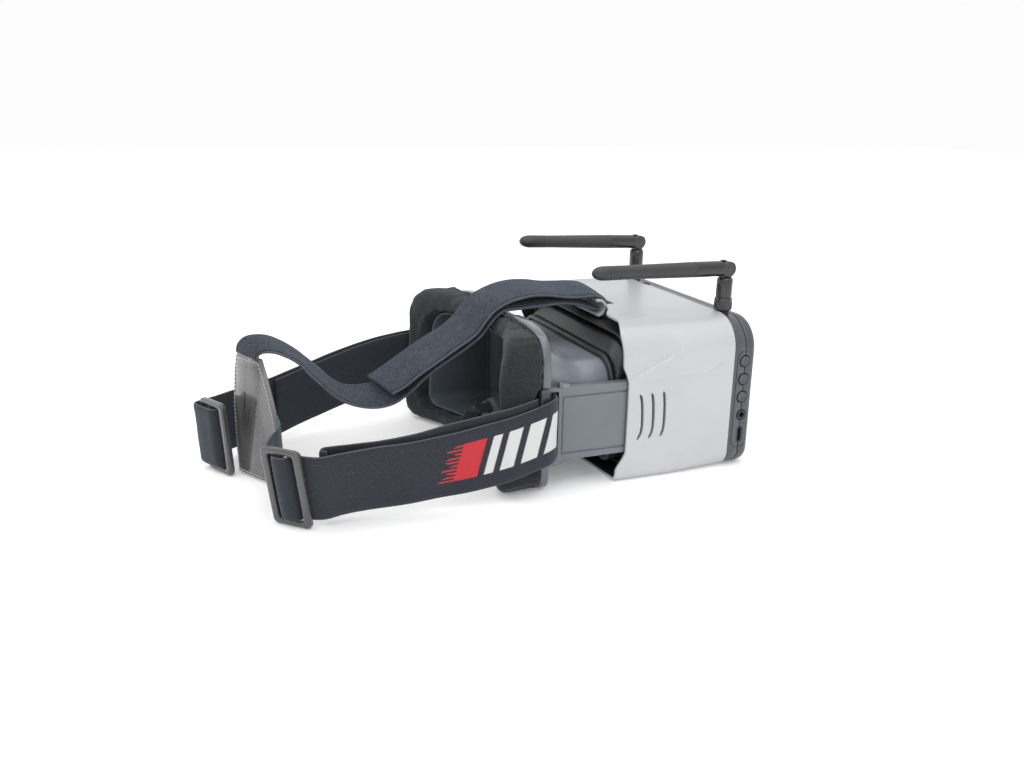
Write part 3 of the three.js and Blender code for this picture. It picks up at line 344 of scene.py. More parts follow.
M = {
    "shell": mat_shell(),
    "dark": plastic("display_satin_grey", (0.045, 0.051, 0.061), 0.34, 1700.0, 0.20, 0.35, coat=0.25),
    "grey": plastic("arm_satin_grey", (0.128, 0.144, 0.163), 0.40, 1500.0, 0.20, 0.40, coat=0.12),
    "frame": plastic("frame_gloss_grey", (0.085, 0.095, 0.108), 0.20, 900.0, 0.10, 0.35, coat=0.8, coat_rough=0.10),
    # lighter copy of the shroud rubber for the eye tunnel: painted light on its lit sides
    "tunnel": plastic("tunnel_rubber_painted_light", (0.185, 0.205, 0.232), 0.34, 1300.0, 0.20, 0.20, coat=0.35, vary=0.08, coat_rough=0.25),
    "rubber": plastic("shroud_satin_dark", (0.016, 0.018, 0.021), 0.44, 1300.0, 0.28, 0.20, coat=0.10, vary=0.10, coat_rough=0.35),
    "cup": plastic("cup_smooth_dark", (0.064, 0.079, 0.093), 0.48, 1100.0, 0.22, 0.5, coat=0.08, vary=0.10, coat_rough=0.4),
    "black": plastic("black_fine_grain", (0.014, 0.014, 0.015), 0.55, 1500.0, 0.30, 0.20),
    "antenna": plastic("antenna_soft_black", (0.026, 0.026, 0.028), 0.40, 1200.0, 0.30, 0.30, vary=0.12, coat=0.05),
    "glide": plastic("glide_satin_dark", (0.044, 0.044, 0.047), 0.24, 900.0, 0.18, 0.55, coat=0.6, vary=0.15, coat_rough=0.14),
    "hinge": plastic("antenna_gloss_black", (0.010, 0.010, 0.011), 0.26, 1200.0, 0.18, 0.20, coat=0.4, coat_rough=0.15),
    "knit": mat_knit(),
    "elastic": mat_elastic(),
    "elastic_bars": mat_elastic("elastic_web_bars", True),
    "velvet": mat_velvet(),
    "hook": mat_hook(),
    "leather": mat_leather(),
    "thread": mat_thread(),
    "steel": mat_metal("screw_steel_brushed", (0.62, 0.62, 0.64), 0.28),
    "brass": mat_metal("socket_brass", (0.72, 0.50, 0.22), 0.28),
    "board": mat_board(),
    "screen": mat_glass("screen_dark_glass", (0.010, 0.011, 0.014), 0.06),
    "cell": plastic("cell_blue_wrap", (0.025, 0.070, 0.24), 0.35, 800.0, 0.2, 0.2, coat=0.4),
    "lens": mat_lens(),
    "void": plastic("deep_black", (0.004, 0.004, 0.0045), 0.8, 1500.0, 0.2, 0.0),
}


# ------------------------------------------------------------------ mesh helpers
def mk(name, verts, faces, mat, body=None, slot=None, rep=(), uv=None, sharp=32.0, mats=None, fmat=None):
    me = bpy.data.meshes.new(name)
    me.from_pydata([W(v) for v in verts], [], faces)
    me.update()
    if uv is not None:
        lay = me.uv_layers.new(name="UVMap")
        idx = np.zeros(len(me.loops), np.int32)
        me.loops.foreach_get("vertex_index", idx)
        lay.data.foreach_set("uv", np.asarray(uv, np.float32)[idx].ravel())
    for m in mats or [mat]:
        me.materials.append(m)
    if fmat is not None:
        me.polygons.foreach_set("material_index", np.asarray(fmat, np.int32))
    bm = bmesh.new()
    bm.from_mesh(me)
    bmesh.ops.recalc_face_normals(bm, faces=bm.faces)
    bm.to_mesh(me)
    bm.free()
    shade(me, sharp)
    ob = bpy.data.objects.new(name, me)
    SC.collection.objects.link(ob)
    return attach(ob, body, rep)


def shade(me, sharp):
    me.polygons.foreach_set("use_smooth", np.ones(len(me.polygons), bool))
    if sharp is not None:
        me.set_sharp_from_angle(angle=math.radians(sharp))
    me.update()


def attach(ob, body, rep=()):
    if body:
        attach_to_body(ob, body)
    if rep:
        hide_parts(*([rep] if isinstance(rep, str) else rep))
    return ob


def bake(ob):
    """modifiers made real"""
    bpy.context.view_layer.update()
    dg = bpy.context.evaluated_depsgraph_get()
    me = bpy.data.meshes.new_from_object(ob.evaluated_get(dg), preserve_all_data_layers=True, depsgraph=dg)
    ob.modifiers.clear()
    old = ob.data
    ob.data = me
    me.name = ob.name
    bpy.data.meshes.remove(old)
    return ob


def boolean(ob, cutters, op="DIFFERENCE", sharp=32.0, keep=False):
    for i, c in enumerate(cutters):
        m = ob.modifiers.new("b%d" % i, "BOOLEAN")
        m.operation, m.object, m.solver = op, c, "EXACT"
    bake(ob)
    if not keep:
        for c in cutters:
            bpy.data.objects.remove(c, do_unlink=True)
    shade(ob.data, sharp)
    return ob


def bevel(ob, w, seg=3, angle=35.0, apply=True, sharp=40.0):
    m = ob.modifiers.new("edge", "BEVEL")
    m.width, m.segments, m.limit_method, m.angle_limit = w / 1000.0, seg, "ANGLE", math.radians(angle)
    m.use_clamp_overlap = True
    m.harden_normals = False
    if apply:
        bake(ob)
        shade(ob.data, sharp)
    return ob


def join(name, obs):
    for o in bpy.context.selected_objects:
        o.select_set(False)
    for o in obs:
        o.select_set(True)
    bpy.context.view_layer.objects.active = obs[0]
    bpy.ops.object.join()
    obs[0].name = name
    obs[0].data.name = name
    obs[0].select_set(False)
    return obs[0]


def boxm(name, x0, x1, y0, y1, z0, z1, mat=None):
    v = [(x, y, z) for x in (x0, x1) for y in (y0, y1) for z in (z0, z1)]
    f = [(0, 1, 3, 2), (4, 6, 7, 5), (0, 4, 5, 1), (2, 3, 7, 6), (0, 2, 6, 4), (1, 5, 7, 3)]
    return mk(name, v, f, mat or M["black"], sharp=30)


def lathe(name, prof, axis, c, mat, seg=48, sharp=35.0, wob=None):
    """prof: (radius, along); axis x, y or z; c: the other two coordinates in order"""
    v, f = [], []
    for r, a in prof:
        for i in range(seg):
            th = 2 * math.pi * i / seg
            rr = r if wob is None else wob(r, a, th)
            p, q = rr * math.cos(th), rr * math.sin(th)
            if axis == "x":
                v.append((a, c[0] + p, c[1] + q))
            elif axis == "y":
                v.append((c[0] + p, a, c[1] + q))
            else:
                v.append((c[0] + p, c[1] + q, a))
    n = len(prof)
    for k in range(n - 1):
        for i in range(seg):
            j = (i + 1) % seg
            f.append((k * seg + i, k * seg + j, (k + 1) * seg + j, (k + 1) * seg + i))
    f.append(tuple(range(seg - 1, -1, -1)))
    f.append(tuple((n - 1) * seg + i for i in range(seg)))
    return mk(name, v, f, mat, sharp=sharp)


def arcpts(cx, cz, r, a0, a1, n):
    return [(cx + r * math.cos(math.radians(a0 + (a1 - a0) * i / n)), cz + r * math.sin(math.radians(a0 + (a1 - a0) * i / n))) for i in range(n + 1)]


def ring(hw, z0, z1, rt, rb, seg=10, nx=24, nz=16):
    """rounded rectangle in the XZ plane, same count whatever the size; starts at the right of the top-left... corner"""
    parts = [arcpts(hw - rt, z1 - rt, rt, 0, 90, seg), arcpts(-hw + rt, z1 - rt, rt, 90, 180, seg),
             arcpts(-hw + rb, z0 + rb, rb, 180, 270, seg), arcpts(hw - rb, z0 + rb, rb, 270, 360, seg)]
    cnt = [nx, nz, nx, nz]
    out = []
    for k in range(4):
        out += parts[k]
        a, b = parts[k][-1], parts[(k + 1) % 4][0]
        for i in range(1, cnt[k]):
            t = i / cnt[k]
            out.append((a[0] + (b[0] - a[0]) * t, a[1] + (b[1] - a[1]) * t))
    return out


def skin(name, rings, mat, closed=False, caps=(False, False), **kw):
    n = len(rings[0])
    v = [p for r in rings for p in r]
    f = []
    R = len(rings)
    for k in range(R if closed else R - 1):
        k2 = (k + 1) % R
        for i in range(n):
            j = (i + 1) % n
            f.append((k * n + i, k * n + j, k2 * n + j, k2 * n + i))
    if caps[0]:
        f.append(tuple(range(n)))
    if caps[1]:
        f.append(tuple((R - 1) * n + i for i in range(n)))
    return mk(name, v, f, mat, **kw)


def resample(pts, n, closed=False):
    """centripetal-like smooth curve through pts, n points equally spaced"""
    P = np.asarray(pts, float)
    if closed:
        P = np.vstack([P[-2:], P, P[:3]])
    else:
        P = np.vstack([2 * P[0] - P[1], P, 2 * P[-1] - P[-2]])
    out = []
    for i in range(1, len(P) - 2):
        p0, p1, p2, p3 = P[i - 1], P[i], P[i + 1], P[i + 2]
        t0 = 0.0
        t1 = t0 + max(1e-4, np.linalg.norm(p1 - p0)) ** 0.5
        t2 = t1 + max(1e-4, np.linalg.norm(p2 - p1)) ** 0.5
        t3 = t2 + max(1e-4, np.linalg.norm(p3 - p2)) ** 0.5
        for t in np.linspace(t1, t2, 14, endpoint=False):
            a1 = (t1 - t) / (t1 - t0) * p0 + (t - t0) / (t1 - t0) * p1
            a2 = (t2 - t) / (t2 - t1) * p1 + (t - t1) / (t2 - t1) * p2
            a3 = (t3 - t) / (t3 - t2) * p2 + (t - t2) / (t3 - t2) * p3
            b1 = (t2 - t) / (t2 - t0) * a1 + (t - t0) / (t2 - t0) * a2
            b2 = (t3 - t) / (t3 - t1) * a2 + (t - t1) / (t3 - t1) * a3
            out.append((t2 - t) / (t2 - t1) * b1 + (t - t1) / (t2 - t1) * b2)
    out.append(P[-2])
    Q = np.array(out)
    if closed:
        k = 14
        Q = Q[k:-2 * k + 0] if False else Q
    return Q if n is None else even(Q, n)


def even(Q, n):
    d = np.r_[0, np.cumsum(np.linalg.norm(np.diff(Q, axis=0), axis=1))]
    t = np.linspace(0, d[-1], n)
    return np.stack([np.interp(t, d, Q[:, k]) for k in range(Q.shape[1])], 1)


def interp(x, pts):
    a = np.asarray(pts, float)
    return np.interp(x, a[:, 0], a[:, 1])


def smooth_lerp(x, pts, w):
    return np.mean([interp(x + o, pts) for o in np.linspace(-w, w, 9)], axis=0)


def plate(name, loops, t0, t1, bev, axis, mat, sharp=38.0, res=3):
    """flat plate from closed 2-D loops with rounded edges; axis y: loops are (x, z); axis x: loops are (y, z)"""
    cu = bpy.data.curves.new(name, "CURVE")
    cu.dimensions, cu.fill_mode = "2D", "BOTH"
    for lp in loops:
        sp = cu.splines.new("POLY")
        sp.points.add(len(lp) - 1)
        for q, (a, b) in zip(sp.points, lp):
            q.co = (a / 1000.0, b / 1000.0, 0, 1)
        sp.use_cyclic_u = True
    cu.extrude = max(0.0, (t1 - t0) / 2 - bev) / 1000.0
    cu.bevel_depth, cu.bevel_resolution, cu.offset = bev / 1000.0, res, -bev / 1000.0
    tmp = bpy.data.objects.new(name + "_c", cu)
    SC.collection.objects.link(tmp)
    bpy.context.view_layer.update()
    dg = bpy.context.evaluated_depsgraph_get()
    me = bpy.data.meshes.new_from_object(tmp.evaluated_get(dg), depsgraph=dg)
    bpy.data.objects.remove(tmp, do_unlink=True)
    mid = (t0 + t1) / 2
    if axis == "y":
        me.transform(Matrix(((1, 0, 0, 0), (0, 0, -1, (mid - Y0) / 1000.0), (0, 1, 0, 0), (0, 0, 0, 1))))
    else:
        me.transform(Matrix(((0, 0, 1, mid / 1000.0), (1, 0, 0, -Y0 / 1000.0), (0, 1, 0, 0), (0, 0, 0, 1))))
    bm = bmesh.new()
    bm.from_mesh(me)
    bmesh.ops.remove_doubles(bm, verts=bm.verts, dist=1e-6)
    bmesh.ops.dissolve_degenerate(bm, dist=1e-7, edges=bm.edges)
    bmesh.ops.recalc_face_normals(bm, faces=bm.faces)
    bm.to_mesh(me)
    bm.free()
    me.materials.clear()
    me.materials.append(mat)
    shade(me, sharp)
    me.name = name
    ob = bpy.data.objects.new(name, me)
    SC.collection.objects.link(ob)
    return ob


def rrect(a0, a1, b0, b1, r, seg=6):
    return arcpts(a1 - r, b1 - r, r, 0, 90, seg) + arcpts(a0 + r, b1 - r, r, 90, 180, seg) + arcpts(a0 + r, b0 + r, r, 180, 270, seg) + arcpts(a1 - r, b0 + r, r, 270, 360, seg)


def wobble(p, seed, k=0.05):
    """smooth deterministic noise in about -1..1"""
    rs = np.random.RandomState(seed)
    p = np.atleast_2d(p)
    out = np.zeros(len(p))
    for i in range(5):
        d = rs.normal(size=3)
        d /= np.linalg.norm(d)
        out += np.sin(p @ d * k * (1.4 ** i) * 2 * math.pi + rs.rand() * 6.28) / (1.25 ** i)
    return out / 2.4


def strap(name, A, B, t, mat, n, m=14, body="carriage", slot="elastic", rep=(), ripple=0.0, seed=1, uvx0=0.0, under=None, edge_wave=0.0, crown=0.0, endround=True):
    """flat woven strap between two edge lines, with rounded selvages; v=1 at line A"""
    QA, QB = resample(A, None), resample(B, None)
    k = min(len(QA), len(QB))
    mid = (QA[:k] + QB[:k]) / 2
    d = np.r_[0, np.cumsum(np.linalg.norm(np.diff(mid, axis=0), axis=1))]
    s = np.linspace(0, d[-1], n)
    a = np.stack([np.interp(s, d, QA[:k, j]) for j in range(3)], 1)
    b = np.stack([np.interp(s, d, QB[:k, j]) for j in range(3)], 1)
    c = (a + b) / 2
    tan = np.gradient(c, axis=0)
    tan /= np.linalg.norm(tan, axis=1)[:, None]
    wd = a - b
    nor = np.cross(tan, wd)
    nor /= np.linalg.norm(nor, axis=1)[:, None]
    # cross-section: around from A over the outer face to B and back over the inner face
    w = np.linspace(0, 1, m)
    w = 0.5 - 0.5 * np.cos(np.pi * w) * (1 - 0.25 * np.sin(np.pi * w))
    w = np.clip(w, 0, 1)
    prof = []
    h = t / 2
    for q in w:
        e = min(q, 1 - q)
        fall = math.sqrt(max(0.0, 1 - (1 - min(1.0, e / 0.035)) ** 2))
        prof.append((1 - q, h * (0.30 + 0.70 * fall)))
    up = [(q, z) for q, z in prof]
    dn = [(q, -z) for q, z in reversed(prof)]
    loop = up + dn
    L = len(loop)
    verts, uvs = [], []
    for i in range(n):
        for q, z in loop:
            base = b[i] + wd[i] * q
            ed = abs(q - 0.5) * 2
            off = z + crown * (1 - ed ** 2)
            if ripple:
                off += ripple * float(wobble(base, seed, 0.022)[0])
            if edge_wave:
                off += edge_wave * (ed ** 3) * math.sin(s[i] * 0.21 + (1.3 if q > 0.5 else 0) + seed) * (0.6 + 0.4 * math.sin(s[i] * 0.067))
            verts.append(base + nor[i] * off)
            uvs.append(((s[i] + uvx0) / 1000.0, q))
    faces, fm = [], []
    for i in range(n - 1):
        for j in range(L):
            j2 = (j + 1) % L
            faces.append((i * L + j, i * L + j2, (i + 1) * L + j2, (i + 1) * L + j))
            fm.append(1 if (under and m <= j < 2 * m - 1) else 0)
    # end caps, quads between the two faces
    for e in (0, n - 1):
        for j in range(m - 1):
            faces.append((e * L + j, e * L + j + 1, e * L + 2 * m - 2 - j, e * L + 2 * m - 1 - j))
            fm.append(0)
    return mk(name, verts, faces, mat, body, slot, rep, uv=uvs, sharp=50.0, mats=[mat] + ([under] if under else []), fmat=fm)


# ------------------------------------------------------------------ outer shell
HW, H, WALL, RT, RB = 72.5, 86.0, 1.8, 18.0, 5.0
SIDE = [(-2, 72.5), (3, 72.2), (9, 69.2), (13, 66.4), (16.2, 64.7), (40, 64.5), (56, 64.6), (60.5, 66.4), (64.5, 68.2), (90, 68.3)]
ROOF = [(0, 53.6), (19, 53.6), (22, 54.0), (29, 56.5), (36, 61.4), (42, 63.3), (55, 63.9), (62, 66.4), (68, 68.3), (81, 68.3)]
FLOOR = [(0, 75.7), (29, 75.7), (34.5, 73), (45, 71.7), (56, 71), (64, 70.4), (81, 70)]


def shell_end(x, z):
    c = []
    if abs(x) > 60:
        c.append(float(smooth_lerp(z, SIDE, 1.1)))
    if z > 64:
        c.append(float(smooth_lerp(abs(x), ROOF, 1.6)))
    if z < 20:
        c.append(float(smooth_lerp(abs(x), FLOOR, 1.6)))
    return min(c) if c else 68.3


def seg_step(y, z, a, b, below, depth, fall, w=0.42):
    """height of a moulded step that is sharp along a-b and fades out on one side of it"""
    ax, az = b[0] - a[0], b[1] - a[1]
    L = math.hypot(ax, az)
    ux, uz = ax / L, az / L
    t = (y - a[0]) * ux + (z - a[1]) * uz
    s = (y - a[0]) * -uz + (z - a[1]) * ux
    if below:
        s = -s
    along = min(1.0, max(0.0, (t + 2) / 6.0)) * min(1.0, max(0.0, (L - t + 2) / 6.0))
    if s < -w or along <= 0:
        return 0.0
    rise = min(1.0, (s + w) / (2 * w))
    rise = rise * rise * (3 - 2 * rise)
    return depth * rise * math.exp(-max(0.0, s) / fall) * along


def shell_relief(y, z):
    h = seg_step(y, z, (31.6, 71.1), (62.5, 57.8), False, -1.45, 11.0)
    h += seg_step(y, z, (5.1, 62.7), (17.9, 56.5), False, 1.15, 9.0)
    h += seg_step(y, z, (17.9, 56.5), (60.0, 55.8), False, 0.85, 10.0)
    return h


def build_shell():
    def rg(i):
        return ring(HW - i, i, H - i, RT - i, RB - i, seg=12, nx=60, nz=58)

    R0 = rg(0.0)
    ends = [shell_end(x, z) for x, z in R0]
    n = len(R0)
    nrm = []
    for k in range(n):
        a, b = R0[k - 1], R0[(k + 1) % n]
        t = (b[0] - a[0], b[1] - a[1])
        m = math.hypot(*t)
        nrm.append((t[1] / m, -t[0] / m))

    def row(inset, yf, relief=False):
        out = []
        soft = ring(HW - inset, inset, H - inset, RT - inset, 9.5 - inset, seg=12, nx=60, nz=58)
        for k, (x, z) in enumerate(rg(inset)):
            y = yf(ends[k])
            w = min(1.0, max(0.0, 1.0 - y / 36.0))
            x += (soft[k][0] - x) * w
            z += (soft[k][1] - z) * w
            if relief and abs(nrm[k][0]) > 0.5:
                d = shell_relief(y, R0[k][1]) * min(1.0, (abs(nrm[k][0]) - 0.5) * 2.2)
                x += nrm[k][0] * d
                z += nrm[k][1] * d
            out.append((x, y, z))
        return out

    rows = []
    for v in np.linspace(0, 1, 110):
        rows.append(row(0.0, lambda e, v=v: 0.5 + (e - 1.1) * v, True))
    e0 = 0.6
    for k in range(1, 5):
        a = math.pi / 2 * k / 4
        rows.append(row(e0 * (1 - math.cos(a)), lambda e, a=a: e - e0 + e0 * math.sin(a)))
    for k in range(0, 4):
        a = math.pi / 2 * k / 4
        rows.append(row(WALL - e0 * (1 - math.sin(a)), lambda e, a=a: e - e0 + e0 * math.cos(a)))
    for v in np.linspace(0, 1, 9):
        rows.append(row(WALL, lambda e, v=v: e - e0 + (0.5 - e + e0) * v))
    for k in range(1, 5):
        a = math.pi / 2 * k / 4
        rows.append(row(WALL - 0.5 * (1 - math.cos(a)), lambda e, a=a: 0.5 - 0.5 * math.sin(a)))
    for k in range(0, 4):
        a = math.pi / 2 * k / 4
        rows.append(row(0.5 * (1 - math.sin(a)), lambda e, a=a: 0.5 - 0.5 * math.cos(a)))
    sh = skin("goggle_shell", rows, M["shell"], closed=True, sharp=40)
    cutters = []
    vents = [[(57.8, 48.8), (56.6, 45.7), (56, 27.6), (58.2, 23.1)], [(50.8, 49.0), (49.8, 45.9), (49.3, 27.7), (51.2, 23.3)], [(43.6, 49.1), (42.8, 46.0), (42.5, 27.8), (44.1, 23.5)]]
    for sx in (-1, 1):
        for v in vents:
            c = resample(v, 26)
            t = np.gradient(c, axis=0)
            t /= np.linalg.norm(t, axis=1)[:, None]
            nn = np.stack([-t[:, 1], t[:, 0]], 1)
            wv = 0.84 * np.sqrt(np.clip(1 - (np.abs(np.linspace(-1, 1, 26)) ** 14), 0.06, 1))[:, None]
            poly = [tuple(p) for p in c + nn * wv] + [tuple(p) for p in (c - nn * wv)[::-1]]
            x0, x1 = (60, 80) if sx > 0 else (-80, -60)
            m = len(poly)
            vv = [(x0, a, b) for a, b in poly] + [(x1, a, b) for a, b in poly]
            ff = [tuple(range(m)), tuple(range(2 * m - 1, m - 1, -1))] + [(i, (i + 1) % m, m + (i + 1) % m, m + i) for i in range(m)]
            cutters.append(mk("c", vv, ff, M["shell"]))
    cutters.append(boxm("c", -17.9, 17.9, 46.9, 51.5, 80, 92))
    boolean(sh, cutters, sharp=40)
    # dark shroud material on the inner faces: painted shade inside the shell
    sh.data.materials.append(M["rubber"])
    for q in sh.data.polygons:
        cx, cy, cz = q.center.x * 1000, q.center.y * 1000 + Y0, q.center.z * 1000
        nx_, nz_ = q.normal.x, q.normal.z
        if (abs(cx) < HW - 1.3 and 1.3 < cz < H - 1.3) and (cx * nx_ < 0 and abs(nx_) > 0.4 or (cz - 43) * nz_ < 0 and abs(nz_) > 0.4) and abs(q.normal.y) < 0.5 and cy > 0.6:
            q.material_index = len(sh.data.materials) - 1
    return attach(sh, "shell", ["outer_shell"])


build_shell()
# rolled lip that the top strap hangs on
lip_o = arcpts(57, 84.0, 5.2, 70, 268, 30)
lip_i = arcpts(57, 84.0, 3.5, 70, 268, 30)
lip = plate("strap_lip", [[p for p in lip_o] + [p for p in reversed(lip_i)]], -18.6, 18.6, 0.5, "x", M["shell"], 45)
attach(lip, "shell")

# ------------------------------------------------------------------ screen module
DHW, DH = 71.6, 84.4


def dring(k, seg=12):
    c = min(k, 4)
    return ring(DHW - k, k, DH - k, 18 - c, 10 - c, seg=seg, nx=30, nz=24)


def at(rg, y):
    return [(x, y, z) for x, z in rg]


bore_cut = []
for z in (61.3, 51.0, 40.8):
    bore_cut.append(lathe("c", [(3.25, -62), (3.25, -71.1), (3.55, -71.55), (3.65, -73)], "x", (-7.3, z), M["dark"], 40))
bore_cut.append(lathe("c", [(2.9, -62), (2.9, -71.2), (3.2, -71.55), (3.3, -73)], "x", (-8.0, 30.1), M["dark"], 32))
usb = plate("c", [rrect(-9.55, -6.05, 13.9, 23.1, 1.0, 4)], -73, -62, 0.0, "x", M["dark"])
bore_cut.append(usb)
bore_cut.append(plate("c", [rrect(-12.4, -2.3, 10.8, 67.2, 4.6), rrect(-11.85, -2.85, 11.35, 66.65, 4.05)], -73, -71.25, 0.0, "x", M["dark"]))

rows = [at(dring(0.35), -7.7), at(dring(0.1), -7.78), at(dring(0.0), -7.95), at(dring(0.0), -9.2)]
for k in range(0, 9):
    a = math.pi / 2 * k / 8
    rows.append(at(dring(4.4 * (1 - math.cos(a))), -10.6 - 4.4 * math.sin(a)))
for k, y in ((5.6, -15.0), (6.25, -14.9), (6.4, -14.55), (7.0, -14.5), (7.2, -14.9), (7.5, -15.0), (20, -15.0)):
    rows.append([(x, y, z) for x, z in ring(DHW - k, k, DH - k, max(18 - k, 6), max(10 - k, 3), seg=12, nx=30, nz=24)])
cover_f = skin("display_front", rows[::-1] + [at(dring(2.0), -7.7), at(dring(2.2), -13.0)], M["dark"], caps=(True, True), sharp=35)
rows = [at(dring(0.35), -7.3), at(dring(0.1), -7.22), at(dring(0.0), -7.05), at(dring(0.0), -0.9), at(dring(0.12), -0.5), at(dring(0.5), -0.3),
        at(ring(70.2, 2.3, 83.6, 15.7, 7.6, 12, 30, 24), -0.3), at(ring(70.2, 2.3, 83.6, 15.7, 7.6, 12, 30, 24), 2.3), at(ring(69.9, 2.6, 83.3, 15.4, 7.3, 12, 30, 24), 2.6),
        at(ring(57, 7, 77, 3, 3, 12, 30, 24), 2.6), at(ring(55, 9, 75, 3, 3, 12, 30, 24), -2.2), at(dring(2.0), -2.2), at(dring(2.0), -7.3)]
cover_r = skin("display_rear", rows, M["dark"], closed=True, sharp=35)
boolean(cover_f, bore_cut, sharp=35, keep=True)
boolean(cover_r, bore_cut, sharp=35)
attach(cover_f, "display", ["display_front_cover"])
attach(cover_r, "display", ["display_rear_cover"])
for z, nm in ((61.3, "up"), (51.0, "menu"), (40.8, "down")):
    b = lathe("key_" + nm, [(0.3, -66.8), (2.95, -66.8), (2.95, -71.6), (2.88, -71.95), (2.65, -72.15), (2.3, -72.2), (2.05, -72.12), (1.85, -71.98), (0.95, -71.9), (0.85, -72.02), (0.7, -72.08), (0.2, -72.08)],
              "x", (-7.3, z), M["dark"], 40, 30)
    attach(b, nm + "_button", ["button_" + nm])
# small catch on the roof between the module and the shell
latch = bevel(boxm("module_catch", 27.5, 33.0, -1.9, 1.1, 83.9, 86.35, M["black"]), 0.3, 3)
attach(latch, "display")

# ------------------------------------------------------------------ antennas
AX, AY, HZ, AR = 50.9, -4.0, 109.5, 4.3
for s, side in SIDES:
    ax = s * AX

    def knurl(r, a, th):
        return r + (0.14 * math.cos(th * 26) if 87.0 < a < 91.4 and r > 4.6 else 0.0)

    nut = [(3.5, 86.35), (4.7, 86.35), (4.9, 86.7), (4.9, 87.1)] + [(4.9, 87.2 + 0.6 * i) for i in range(7)] + [(4.9, 91.5), (4.9, 92.6), (4.6, 93.1), (4.15, 93.3), (4.15, 93.6), (4.35, 93.8), (4.4, 94.2), (4.4, 99.2), (4.3, 99.35), (4.4, 99.5), (4.4, 103.4), (4.2, 103.9), (3.5, 104.6), (3.3, 104.7)]
    base = lathe("b", nut, "z", (ax, AY), M["antenna"], 104, 30, knurl)
    tg = bevel(boxm("t", ax - 2.0, ax + 2.0, AY - 3.0, AY + 3.0, 104.0, HZ, M["antenna"]), 0.25, 2)
    tc = lathe("t2", [(2.75, ax - 2.0), (3.0, ax - 1.8), (3.0, ax + 1.8), (2.75, ax + 2.0)], "x", (AY, HZ), M["antenna"], 48, 30)
    base = join("antenna_stem_" + side, [base, tg, tc])
    base.data.materials.clear()
    base.data.materials.append(M["hinge"])
    attach(base, "antenna_%s_base" % side, ["antenna_base_" + side])
    # whip
    prof = [(AR * 0.5, -4.72), (AR * 0.86, -4.1), (AR, -2.4), (AR, 20.0), (AR - 0.22, 20.2), (AR - 0.22, 20.7), (AR - 0.05, 20.9), (AR - 0.1, 26), (AR - 0.3, 45), (AR - 0.52, 60), (AR - 0.5, 66.0)]
    for g in (67.0, 69.0, 71.0, 73.0):
        prof += [(AR - 0.46, g - 0.35), (AR - 0.66, g - 0.1), (AR - 0.66, g + 0.2), (AR - 0.46, g + 0.45)]
    prof += [(AR - 0.45, 75.0), (AR - 0.5, 76.8), (AR - 0.8, 78.6), (AR - 1.4, 80.2), (AR - 2.3, 81.5), (AR - 3.3, 82.2), (0.3, 82.5)]
    rod = lathe("antenna_whip_" + side, [(r, AY + a) for r, a in prof], "y", (ax, HZ), M["antenna"], 56, 30)
    knob = lathe("k", [(AR - 0.5, ax - AR + 0.3), (AR, ax - AR + 0.7), (AR, ax + AR - 0.7), (AR - 0.5, ax + AR - 0.3)], "x", (AY, HZ), M["antenna"], 56, 30)
    boolean(rod, [knob], "UNION")
    cutters = [boxm("c", ax - 2.35, ax + 2.35, AY - 9, AY + 3.6, 100, 120), boxm("c", ax - 12, ax - AR + 0.5, AY - 9, AY + 19.6, 98, 122),
               boxm("c", ax + AR - 0.5, ax + 12, AY - 9, AY + 19.6, 98, 122), lathe("c", [(1.1, ax - 8), (1.1, ax + 8)], "x", (AY, HZ), M["antenna"], 20)]
    boolean(rod, cutters, sharp=30)
    rod.data.materials.append(M["hinge"])
    for q in rod.data.polygons:
        if q.center.y * 1000 + Y0 - AY < 20.4:
            q.material_index = len(rod.data.materials) - 1
    lift = math.radians(2.3 if s > 0 else 0.8)
    for v in rod.data.vertices:
        d_ = v.co.y * 1000 + Y0 - AY
        v.co.z += max(0.0, d_) * math.tan(lift) / 1000.0
    rod.data.update()
    attach(rod, "antenna_%s_whip" % side, ["antenna_rod_" + side])

# ------------------------------------------------------------------ shroud
NOSEH = [(0, 24.5), (5, 24.0), (10, 22), (14, 18.9), (17.5, 15), (20.3, 10.6), (22.5, 6), (25, -3)]


def nose_at(x, f):
    return float(smooth_lerp(abs(x) / f, NOSEH, 1.4)) * f


def tun(y, k, nose=True):
    P = [(60, 59.2, 10.0, 63.4, 13, 6), (86, 59.2, 10.0, 63.4, 13, 6), (91, 59.9, 9.4, 65.3, 13.4, 6.3), (96, 61.2, 8.2, 68.3, 14, 7), (102, 62.4, 6.8, 71.6, 14.5, 7.5), (108.7, 63.6, 5.4, 75.5, 15, 8), (114, 64.6, 4.4, 78, 15, 8)]
    q = [float(smooth_lerp(y, [(p[0], p[i]) for p in P], 2.0)) for i in range(1, 6)]
    pts = ring(q[0] - k, q[1] + k, q[2] - k, q[3] - k, max(q[4] - k, 2.0), seg=12, nx=72, nz=20)
    f = 0.5 + 0.5 * max(0.0, (y - 86) / 24)
    out = []
    for x, z in pts:
        if nose and y > 84 and z < 34:
            lift = nose_at(x, f) + (1.7 if k > 0.5 else 0.0)
            ease = min(1.0, max(0.0, (y - 84) / 5.0))
            z = max(z, z + (lift - z) * ease) if lift > z else z
        out.append((x, y, z))
    return out


rows = []
for y in list(np.linspace(65.1, 108.4, 48)):
    rows.append(tun(y, 0.0))
rows += [tun(108.7, 0.3), tun(108.7, 1.5)] + [tun(y, 1.8) for y in np.linspace(108.4, 65.1, 32)] + [tun(64.6, 1.3), tun(64.6, 0.5)]
tunnel = skin("light_shroud_eye", rows, M["rubber"], closed=True, sharp=50)
# the tunnel takes the lighter copy of the shroud rubber: painted light
tunnel.data.materials[0] = M["tunnel"]
attach(tunnel, "carriage", ["eye_tunnel"])


def slv(y, hw, z0, z1, rt=15.0, rb=7.0):
    return [(x, y, z) for x, z in ring(hw, z0, z1, rt, rb, seg=12, nx=30, nz=24)]


